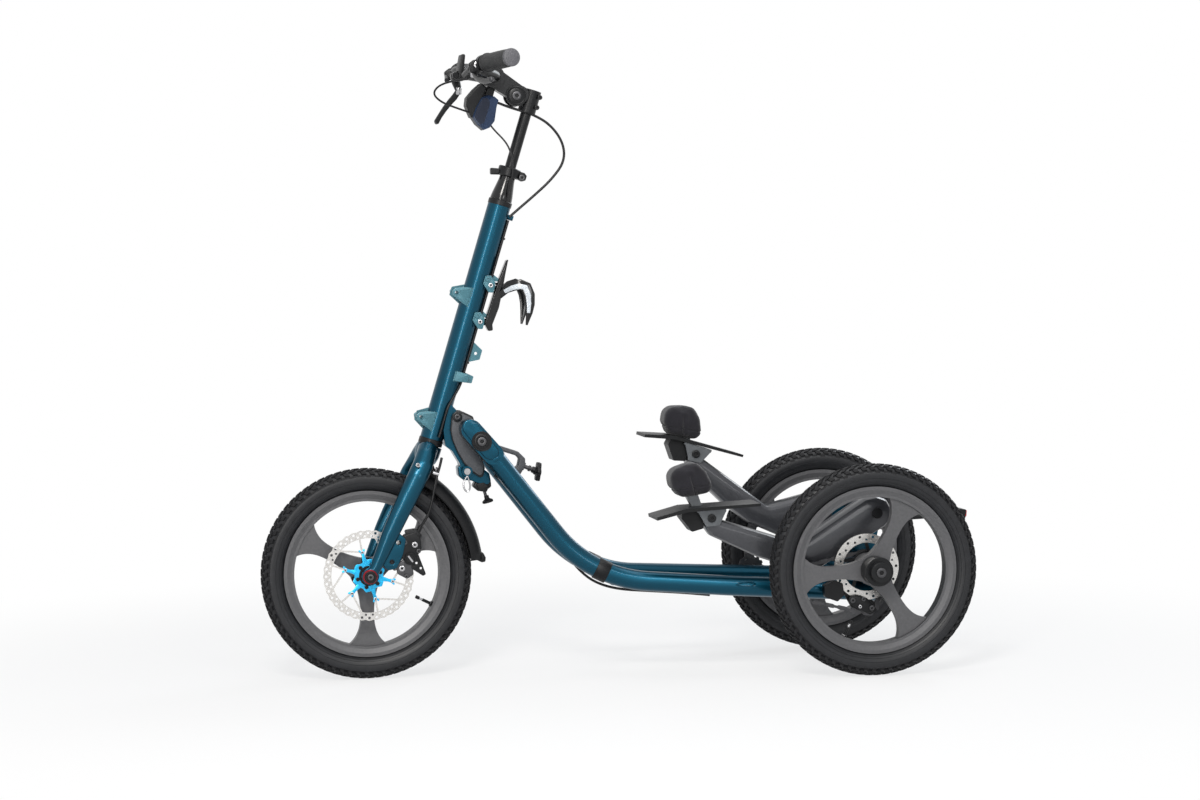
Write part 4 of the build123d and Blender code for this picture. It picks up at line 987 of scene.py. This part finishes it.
# Stem joint with its toothed rings, and the clamp bolts
stem_trim = Piece()
for way in (1, -1):
    spot = at(638.5, way * 20.0, 1101.0)
    teeth = waved(96, lambda turn: 19.7 - 0.7 * math.cos(48 * turn))
    toothed = flat([teeth, ring(10, 24)], 3.0, 0.2)
    stem_trim.add(toothed, BLACK_METAL, aimed(spot - Vector((0, way * 0.0012, 0)), (0, way, 0)))
    stem_trim.lathe([(6, 0), (17.2, 0), (17.8, 1.2), (16.8, 2.4), (14.8, 1.4), (13.2, 2.2),
                     (6, 2.4)], 48, BLACK_METAL, spot, (0, way, 0))
    socket_bolt(stem_trim, spot + Vector((0, way * 0.001, 0)), (0, way, 0), 8.4, 3.4, DARK_STEEL)
for along in (676, 696):
    start = on_column(along, -15, 14)
    end = on_column(along, -15, -14)
    bar(start, end, 3.0, DARK_STEEL, stem_trim)
    for way in (1, -1):
        socket_bolt(stem_trim, on_column(along, -15, way * 13), (0, way, 0), 4.6, 4.0, BLACK_METAL)
stem_trim.finish("stem_trim", "steering")

# Cone over the column's top, and the post's clamp collar
cone = Piece()
cone.add(turned([(10.7, 489), (21.0, 489), (21.2, 490.4), (20.2, 499), (17.6, 514), (15.4, 527),
                 (14.8, 534.6), (10.7, 534.6)], 72), BLACK_GLOSS,
         COLUMN)
cone.finish("column_cone_cover", "steering", ("column_cone",), smooth=50)
collar = Piece()
collar.add(turned([(10.7, 535), (19.5, 535), (21.5, 536.5), (21.5, 551.5), (20, 553), (10.7, 553)],
                  56), BLACK_METAL, COLUMN)
collar.plate([(688, 966), (688, 953), (668, 952.5), (650, 950.5), (641, 953), (642, 960),
              (650, 962), (668, 964)], 3, (15, 2, 2), BLACK_METAL)
ear = [on_side(rise, ahead) for ahead, rise in
       ((-14, 551), (-14, 537), (-28, 534), (-34, 538), (-34, 547), (-28, 551))]
for way in (1, -1):
    collar.plate(ear, 3, (6, 1, 1), BLACK_METAL, way * 5.5)
    socket_bolt(collar, on_column(541, -25.5, way * 8.4), (0, way, 0), 5.4, 4.0, DARK_STEEL)
collar.finish("post_clamp_collar", "steering", ("post_clamp",))

# Grips: ringed rubber with end caps
GRIP_TIP = Vector((690.0, 296.0, 1160.0))
BAR_BOW = Vector((737.0, 118.0, 1152.0))


def grip_point(distance, way):
    """Point on a grip's axis, in mm from its tip towards the bar's bow."""
    tip = Vector((GRIP_TIP.x, way * GRIP_TIP.y, GRIP_TIP.z))
    bow = Vector((BAR_BOW.x, way * BAR_BOW.y, BAR_BOW.z))
    spot = tip + (bow - tip).normalized() * distance
    return at(*spot)


for name, way in SIDES:
    sleeve = Piece()
    profile = [(0, 0), (9, 0), (9.6, 0.6), (14.2, 0.6), (15.6, 1.6), (16.4, 3.4)]
    for index in range(26):
        station = 5 + index * 3.9
        swell = 0.5 * math.sin(math.pi * index / 25)
        profile += [(15.5 + swell, station), (16.2 + swell, station + 0.8),
                    (16.2 + swell, station + 2.6), (15.5 + swell, station + 3.4)]
    profile += [(17.6, 108), (18.2, 110), (17.6, 113), (15, 115.6), (11.4, 116)]
    start = grip_point(-4, way)
    along = grip_point(100, way) - start
    sleeve.lathe(profile, 48, GRIP_RUBBER, start, along, closed=False)
    cap = turned([(0, -2.4), (12.0, -2.2), (15.6, -0.6), (16.6, 1.6), (16.6, 5), (0, 5)], 48,
                 closed=False)
    sleeve.add(cap, CAP_RUBBER, aimed(start, along))
    sleeve.finish("grip_sleeve_" + name, "steering", ("grip_" + name,))


def brake_lever(name, way, pivot, blade):
    """Bar clamp, master cylinder and a tapered blade with a ball end."""
    piece = Piece()
    spot = grip_point(119, way)
    along = (grip_point(140, way) - grip_point(124, way)).normalized()
    piece.lathe([(11.2, 0), (15.5, 0), (16.4, 1), (16.4, 12), (15.5, 13), (11.2, 13)], 40,
                BLACK_METAL, spot, along)
    socket_bolt(piece, spot + along * 0.006 + Vector((-0.0162, 0, 0.004)), (-1, 0, 0.2), 4.2, 4,
                STEEL)
    root = spot + along * 0.007 + Vector((0.010, 0, -0.004))
    pivot = at(*pivot)
    piece.add(lofted([(root, 8, 9), (root.lerp(pivot, 0.5), 9.5, 8), (pivot, 7, 6)], (0, 0, 1)),
              BLACK_METAL)
    piece.add(lofted([(root + along * 0.004, 7, 7), (root + along * 0.024, 8.4, 8.4),
                      (root + along * 0.040, 6.6, 6.6)], (0, 0, 1)), BLACK_METAL)
    piece.lathe([(0, -7), (5.2, -7), (5.6, -6.4), (5.6, 6.4), (5.2, 7), (0, 7)], 24, STEEL, pivot,
                (0, 0.3, 1), closed=False)
    points = [at(*p) for p in blade]
    sizes = [(6.0, 3.6), (6.4, 3.0), (6.0, 2.8), (5.6, 2.8), (5.2, 3.0), (5.6, 4.4)]
    piece.add(lofted([(p, *size) for p, size in zip(points, sizes)], (0.4, 0, 1)), BLACK_METAL)
    piece.lathe([(0, -5.4), (3.4, -4.2), (5.4, 0), (3.4, 4.2), (0, 5.4)], 20, DARK_STEEL,
                points[-1], points[-1] - points[-2], closed=False)
    piece.finish("brake_lever_body_" + name, "steering", ("brake_lever_" + name,))


brake_lever("left", 1, (741, 170, 1137),
            [(741, 170, 1137), (740, 186, 1129), (736, 206, 1123), (731, 230, 1120),
             (726, 252, 1120), (722, 268, 1122)])
brake_lever("right", -1, (724, -160, 1118),
            [(724, -160, 1118), (731, -172, 1106), (739, -184, 1096), (747, -200, 1084),
             (754, -218, 1071), (759, -231, 1060)])
lever_blocks = Piece()
BLOCK = [(751.2, 1154.1), (741.8, 1161.4), (728.7, 1163.2), (724.4, 1152.2), (730.9, 1141.2),
         (747.7, 1135.8)]
for way in (1, -1):
    lever_blocks.plate(BLOCK, 5, (15, 2.2, 2), BLACK_METAL, way * 170)
    socket_bolt(lever_blocks, at(734.8, way * 177, 1152), (0, way, 0), 6.6, 4.0, STEEL)
    bar(at(746, way * 164, 1146), at(752, way * 120, 1136), 5.0, BLACK_METAL, lever_blocks)
lever_blocks.finish("lever_blocks", "steering")

# Bottle cage: a tapered spine on the ears and two arms that wrap the bottle, each arm with a pale
# band along it as a painted highlight
cage = Piece()
SPINE = [(656.6, 792), (663, 762), (670.5, 724), (676, 700), (689, 668), (688, 657), (697, 656),
         (705, 672), (693, 706), (680, 744), (661, 789)]
cage.plate(SPINE, 3, (22, 2.6, 2), BLACK_GLOSS)
ARM = [(675, 6, 722), (664, 18, 734), (651, 28, 741), (638, 33, 744), (627, 35, 739),
       (621, 36, 724), (620, 36, 706), (622, 35, 690), (625, 33, 677), (627, 32, 667)]
WIDTHS = [6, 7.4, 9.2, 10.4, 10.8, 10.2, 8.6, 6.4, 4.0, 2.0]
for way in (1, -1):
    stations = [(at(x, way * y, z), 1.7, wide) for (x, y, z), wide in zip(ARM, WIDTHS)]
    cage.add(lofted(stations, (0, 1, 0), 20), BLACK_GLOSS)
    # pale band along each arm: a painted highlight of the glossy black hoop
    highlight_band = [(at(x + 2.4 * (1 if z > 700 else 0.6), way * (y + 1.2), z - (3.0 if x > 628 else 0.0)),
              1.1, wide * 0.50) for (x, y, z), wide in zip(ARM[1:8], WIDTHS[1:8])]
    cage.add(lofted(highlight_band, (0, 1, 0), 16), CAGE_PAINTED_HIGHLIGHT)
cage.finish("bottle_cage_body", "column", ("bottle_cage",))

# Cables: the loop at the bar, the lever's hose, the lamp's lead, the brake hose and the frame's run
SHEATH_R = 2.5


def cable(name, body, points, radius, replaces=()):
    """A sheathed cable as one NURBS curve."""
    piece = nurbs(name, points, radius)
    piece.data.materials.append(CABLE_SHEATH)
    return fitted(piece, body, replaces)


def free_cable(name, body, points, radius, replaces=()):
    """A stiff sheathed cable that is free between its two ends on the machine."""
    piece = cable(name, body, points, radius, replaces)
    return piece


free_cable("bar_cable_loop", "steering",
           [at(688, 15, 1094), at(664, 13, 1084), at(640, 11, 1076), at(606, 10, 1066),
            at(572, 9, 1046), at(548, 9, 1012), at(546, 9, 976), at(572, 10, 942),
            at(606, 11, 912), at(640, 11, 884), at(654, 11, 872)], SHEATH_R, ("bar_cable",))
free_cable("lever_hose", "steering",
           [at(742, 96, 1130), at(764, 80, 1128), at(792, 62, 1120), at(802, 46, 1104),
            at(782, 32, 1088), at(752, 22, 1078), at(722, 14, 1068)], 1.9)
free_cable("lamp_lead", "steering",
           [at(690, 8, 1050), at(684, 10, 1040), at(660, 22, 1014), at(651, 27, 992),
            at(648, 28, 966), at(651, 27, 940), at(658, 22, 916), at(661, 18, 898)], 1.7)
cable("front_brake_hose", "steering",
      [at(792, 24, 418), at(796, 30, 404), at(802, 38, 390), at(808, 42, 368), at(814, 44, 338),
       at(822, 45, 312), at(832, 43, 296), at(837, 41, 289)], SHEATH_R, ("front_hose",))
cable("frame_run", "frame",
      [at(694, 40, 384), at(660, 38, 352), at(600, 38, 278), at(556, 40, 226), at(528, 42, 192),
       at(500, 44, 172), at(460, 50, 160), at(400, 62, 156), at(330, 80, 152), at(290, 92, 148)],
      SHEATH_R, ("frame_cable",))


# Foot levers: box beams with broad bevels, drawn at the left one's rest
def lever_turn(way):
    """Swing of the right lever about the pivot shaft."""
    if way > 0:
        return Matrix.Identity(4)
    pivot = at(PIVOT[0], 0, PIVOT[1])
    return (Matrix.Translation(pivot) @ Matrix.Rotation(LEVER_SWING, 4, (0, -1, 0))
            @ Matrix.Translation(-pivot))


BEAM = [(300, 303), (124, 246), (20, 312), (-6, 328), (-28, 332), (-48, 325), (-58, 306),
        (-56, 287), (-44, 273), (84, 197), (150, 203), (205, 222), (293, 264), (308, 284)]
for name, way in SIDES:
    body = "lever_" + name
    turn = lever_turn(way)
    beam = Piece()
    outline = rounded(BEAM, 14, 4)
    beam.add(flat([outline], 56, 11, 1), LEVER_PAINT, turn @ side(way * LEVER_Y))
    beam.finish("lever_beam_" + name, body, ("lever_arm_" + name,), smooth=30)
    fittings = Piece()
    for out in (1, -1):
        spot = turn @ at(296, way * LEVER_Y + out * 33.2, 300)
        socket_bolt(fittings, spot, (0, out, 0), 8.0, 4.2)
    fittings.finish("lever_fittings_" + name, body)


# Instep pads: stretch cloth over foam, swollen by a short cloth run
PAD = [(374, 381), (364, 394), (322, 406), (303, 388), (291, 361), (298, 347), (353, 339),
       (371, 361)]
PAD_HALF = 32.0
SWELL = 0.0045


def near_line(point, start, end):
    """Distance from a point to a segment, all in the side view, and how far along it lies."""
    run = end - start
    share = max(0.0, min(1.0, (point - start).dot(run) / run.length_squared))
    return (point - start - run * share).length, share


def bake(pad):
    """Make an object's modifiers part of its mesh."""
    mesh = applied(pad)
    pad.modifiers.clear()
    pad.data = mesh


def swell(pad):
    """Swell a pad by a short cloth run, no point of it by more than SWELL."""
    start = [vertex.co.copy() for vertex in pad.data.vertices]
    cloth = pad.modifiers.new("cloth", "CLOTH")
    cloth.settings.use_pressure = True
    cloth.settings.uniform_pressure_force = 3.0
    cloth.settings.quality = 6
    cloth.settings.mass = 0.3
    cloth.settings.effector_weights.gravity = 0.0
    for step in range(1, 21):
        bpy.context.scene.frame_set(step)
    bake(pad)
    bpy.context.scene.frame_set(1)
    for vertex, origin in zip(pad.data.vertices, start):
        moved = vertex.co - origin
        if moved.length > SWELL:
            vertex.co = origin + moved * (SWELL / moved.length)


def make_pad(name, body, way):
    """Pillow-shaped pad with a pleat up each side, a hem and a cross seam."""
    place = lever_turn(way) @ side(way * LEVER_Y)
    if way < 0:
        place = place @ Matrix.Translation((0.004, -0.020, 0))
    pad = linked(name, flat([rounded(PAD, 15, 5)], 2 * PAD_HALF, 12, 3))
    remesh = pad.modifiers.new("even", "REMESH")
    remesh.mode = "VOXEL"
    remesh.voxel_size = 0.0042
    bake(pad)
    swell(pad)
    finer = pad.modifiers.new("finer", "SUBSURF")
    finer.levels = 2
    bake(pad)
    cut = pad.data
    foot = Vector((325, 344)) / 1000
    crown = Vector((337, 383)) / 1000
    hem_a, hem_b = Vector((290, 364)) / 1000, Vector((374, 352)) / 1000
    middle = Vector((333, 371)) / 1000
    for vertex in cut.vertices:
        spot = vertex.co.xy
        away = abs(vertex.co.z) * 1000 / PAD_HALF
        inward = -1 if vertex.co.z > 0 else 1
        near, share = near_line(spot, foot, crown)
        if away > 0.5:
            depth = 0.0034 * math.exp(-(near / 0.0016) ** 2) * (1 - share ** 3)
            puff = 0.0012 * math.exp(-((near - 0.006) / 0.004) ** 2)
            vertex.co.z += inward * (depth - puff)
        near, share = near_line(spot, hem_a, hem_b)
        out = (spot - middle).normalized()
        groove = 0.0016 * math.exp(-(near / 0.0015) ** 2)
        edge = min(1.0, (spot - middle).length / 0.030)
        vertex.co.x -= out.x * groove * edge
        vertex.co.y -= out.y * groove * edge
        if away > 0.7:
            vertex.co.z += inward * groove
        # shallow folds that the stretched cloth throws towards the hem
        fold = 0.0007 * math.sin(spot.x * 310 + 2.1 * math.sin(spot.y * 160))
        vertex.co.z += inward * fold * max(0.0, 1 - (spot.y - 0.345) / 0.04) * min(1.0, away)
    cut.transform(place)
    cut.materials.clear()
    cut.materials.append(PAD_CLOTH)
    cut.polygons.foreach_set("use_smooth", [True] * len(cut.polygons))
    fitted(pad, body, ("foot_pad_" + name.rsplit("_", 1)[1],))


for name, way in SIDES:
    make_pad("instep_pad_" + name, "lever_" + name, way)

# Tail lamp lens
lens = Piece()
glass = rounded([(-238.5, 275), (-241.5, 276), (-242.5, 288), (-240, 289)], 1)
lens.add(flat([glass], 30, 0.8, 1), RED_LENS, side(0))
lens.finish("tail_lamp_lens", "frame")

# Lamp: faceted shell with a bevelled face over a dark body, the bevel in a lighter blue-grey as
# painted light on its facets, and the display in its mount
LAMP_OUT = [(705.6, 1098.9), (693.3, 1102.6), (680.0, 1099.8), (672.5, 1093.0), (676.5, 1079.9),
            (680.7, 1053.5), (690.4, 1041.2), (701.9, 1036.7), (715.1, 1048.1), (723.7, 1061.4),
            (717.3, 1080.1)]
LAMP_IN = [(704.6, 1095.4), (696.4, 1097.0), (692.0, 1094.0), (690.6, 1090.0), (690.8, 1083.4),
           (698.6, 1060.0), (700.6, 1053.0), (704.0, 1049.6), (709.6, 1047.0), (720.8, 1061.0),
           (714.4, 1079.8)]


def shell(outline, face, low, high, peak):
    """Side wall and bevel of a faceted cover, and its two flats."""
    count = len(outline)
    points = [at(x, low, z) for x, z in outline] + [at(x, high, z) for x, z in outline]
    quads = tube_faces(2, count)
    body = mesh_from(points, quads[:-1])
    points = [at(x, high, z) for x, z in outline] + [at(x, peak, z) for x, z in face]
    bevel = mesh_from(points, quads[:-2])
    top = mesh_from([at(x, peak, z) for x, z in face], [tuple(range(count))])
    return [cleaned(mesh) for mesh in (body, bevel, top)]


lamp = Piece()
for way in (1, -1):
    # the bevel takes the lighter blue-grey as painted light on the facets; the side wall and face
    # take the shell colour
    for mesh, material in zip(shell(LAMP_OUT, LAMP_IN, 0.0, way * 17.0, way * 27.0),
                              (LAMP_SHELL, LAMP_BEVEL_PAINTED_LIGHT, LAMP_SHELL)):
        lamp.add(mesh, material)
lamp.plate([(705, 1126), (695, 1117), (708, 1082), (718, 1058), (726, 1061), (735, 1083),
            (733, 1098), (719, 1114)], 3, (40, 3, 1), BLACK_PLASTIC)
lamp.plate([(690, 1124), (676, 1118), (682, 1098), (700, 1098)], 3, (14, 2, 1), BLACK_PLASTIC)
lamp.finish("headlamp_shell", "steering", ("headlamp",), smooth=20)
display = Piece()
DISPLAY = [(741.6, 1180.0), (736.2, 1179.0), (739.4, 1150.8), (742.8, 1136.6), (749.2, 1135.6),
           (747.4, 1151.0)]
display.plate(DISPLAY, 2, (52, 1.6, 1), BLACK_PLASTIC)
display.plate([(762, 1143), (750, 1150), (742, 1143), (700, 1148), (684, 1150), (682, 1141),
               (700, 1138), (736, 1132), (749, 1129), (760, 1132)], 3, (16, 2, 1), BLACK_METAL)
bar(at(754, 20, 1140), at(754, -20, 1140), 6.0, BLACK_METAL, display)
glass = [at(738.6, -23, 1150.8), at(738.6, 23, 1150.8), at(735.6, 23, 1177.4),
         at(735.6, -23, 1177.4)]
display.add(mesh_from(glass, [(0, 1, 2, 3)]), SCREEN)
display.finish("display_unit", "steering", ("display",))

# Rear calipers: cast cheeks, bolts and pad pins on the CAD bodies
for name, way in SIDES:
    trim = Piece()
    for x, z, radius in ((30.1, 138.2, 5.0), (9.0, 140.0, 4.2), (-7.1, 122.6, 5.0),
                         (16, 126, 3.4)):
        socket_bolt(trim, at(x, way * 170.5, z), (0, way, 0), radius, 3.4,
                    STEEL if radius < 4 else DARK_STEEL)
    trim.plate([(36, 146), (20, 148), (2, 142), (-12, 128), (-10, 116), (2, 112), (20, 122),
                (38, 134)], 5, (3.0, 1.0, 1), BLACK_METAL, way * 169)
    trim.finish("rear_caliper_trim_" + name, "frame")


# Floor and backdrop
def shown_rays(tree):
    """1 for what is seen directly, in a gloss or through glass, and 0 for light on the part."""
    rays = tree.nodes.new("ShaderNodeLightPath").outputs
    clear = math_node(tree, "MAXIMUM", rays["Is Glossy Ray"], rays["Is Transmission Ray"])
    return math_node(tree, "MAXIMUM", rays["Is Camera Ray"], clear)


def mix_out(tree, share, first, second, output):
    """Wire a mix of two shaders to a tree's output."""
    mixed = tree.nodes.new("ShaderNodeMixShader")
    for source, socket in zip((share, first, second), mixed.inputs):
        tree.links.new(source, socket)
    tree.links.new(mixed.outputs["Shader"], tree.nodes[output].inputs["Surface"])


floor_mat = bpy.data.materials.new("pale_floor")
floor_mat.use_nodes = True
tree = floor_mat.node_tree
floor_shader = set_inputs(tree.nodes["Principled BSDF"],
                          {"Base Color": (0.86, 0.86, 0.86, 1), "Roughness": 0.85,
                           "Specular IOR Level": 0.1})
glow = set_inputs(tree.nodes.new("ShaderNodeEmission"), {"Color": (1, 1, 1, 1), "Strength": 1.0})
distance = tree.nodes.new("ShaderNodeVectorMath")
distance.operation = "LENGTH"
tree.links.new(tree.nodes.new("ShaderNodeTexCoord").outputs["Object"], distance.inputs[0])
fade = set_inputs(tree.nodes.new("ShaderNodeMapRange"),
                  {"From Min": 0.7, "From Max": 1.9, "To Min": 0.70, "To Max": 1.0})
fade.interpolation_type = "SMOOTHSTEP"
tree.links.new(distance.outputs["Value"], fade.inputs["Value"])
mix_out(tree, math_node(tree, "MULTIPLY", shown_rays(tree), fade.outputs["Result"]),
        floor_shader.outputs["BSDF"], glow.outputs["Emission"], "Material Output")
floor = linked("floor", mesh_from(
    [(-30, -30, -0.0005), (30, -30, -0.0005), (30, 30, -0.0005), (-30, 30, -0.0005)],
    [(0, 1, 2, 3)]))
floor.data.materials.append(floor_mat)

world = bpy.data.worlds.new("studio")
bpy.context.scene.world = world
world.use_nodes = True
tree = world.node_tree
sky = set_inputs(tree.nodes["Background"], {"Color": (0.80, 0.88, 1.0, 1), "Strength": 0.22})
white = set_inputs(tree.nodes.new("ShaderNodeBackground"),
                   {"Color": (1, 1, 1, 1), "Strength": 1.0})
mix_out(tree, shown_rays(tree), sky.outputs["Background"], white.outputs["Background"],
        "World Output")


def area_light(name, place, aim, size, power, colour=(1, 1, 1)):
    """Rectangular lamp that looks at a point."""
    lamp = bpy.data.lights.new(name, "AREA")
    lamp.shape = "RECTANGLE"
    lamp.size, lamp.size_y = size
    lamp.energy = power
    lamp.color = colour
    holder = linked(name, lamp)
    way = Vector(aim) - Vector(place)
    holder.location = place
    holder.rotation_mode = "QUATERNION"
    holder.rotation_quaternion = way.to_track_quat("-Z", "Y")


area_light("key", (1.3, 3.6, 3.1), (0, 0, 0.4), (1.0, 1.0), 92, (1.0, 0.97, 0.92))
area_light("tall_strip", (1.55, 3.7, 1.3), (0.1, 0, 0.6), (0.35, 2.4), 42, (1.0, 0.98, 0.95))
area_light("wide_strip", (0.2, 3.3, 3.3), (0, 0, 0.3), (2.8, 0.35), 38)
area_light("front_soft", (-0.9, 4.6, 1.5), (0, 0, 0.4), (0.9, 0.9), 16)
area_light("top", (-0.3, 0.2, 3.6), (0, 0, 0.3), (2.6, 1.6), 34)
area_light("back", (-2.6, -2.4, 2.4), (0, 0, 0.4), (1.6, 1.6), 44, (0.9, 0.95, 1.0))
bpy.context.scene.view_settings.view_transform = "Standard"
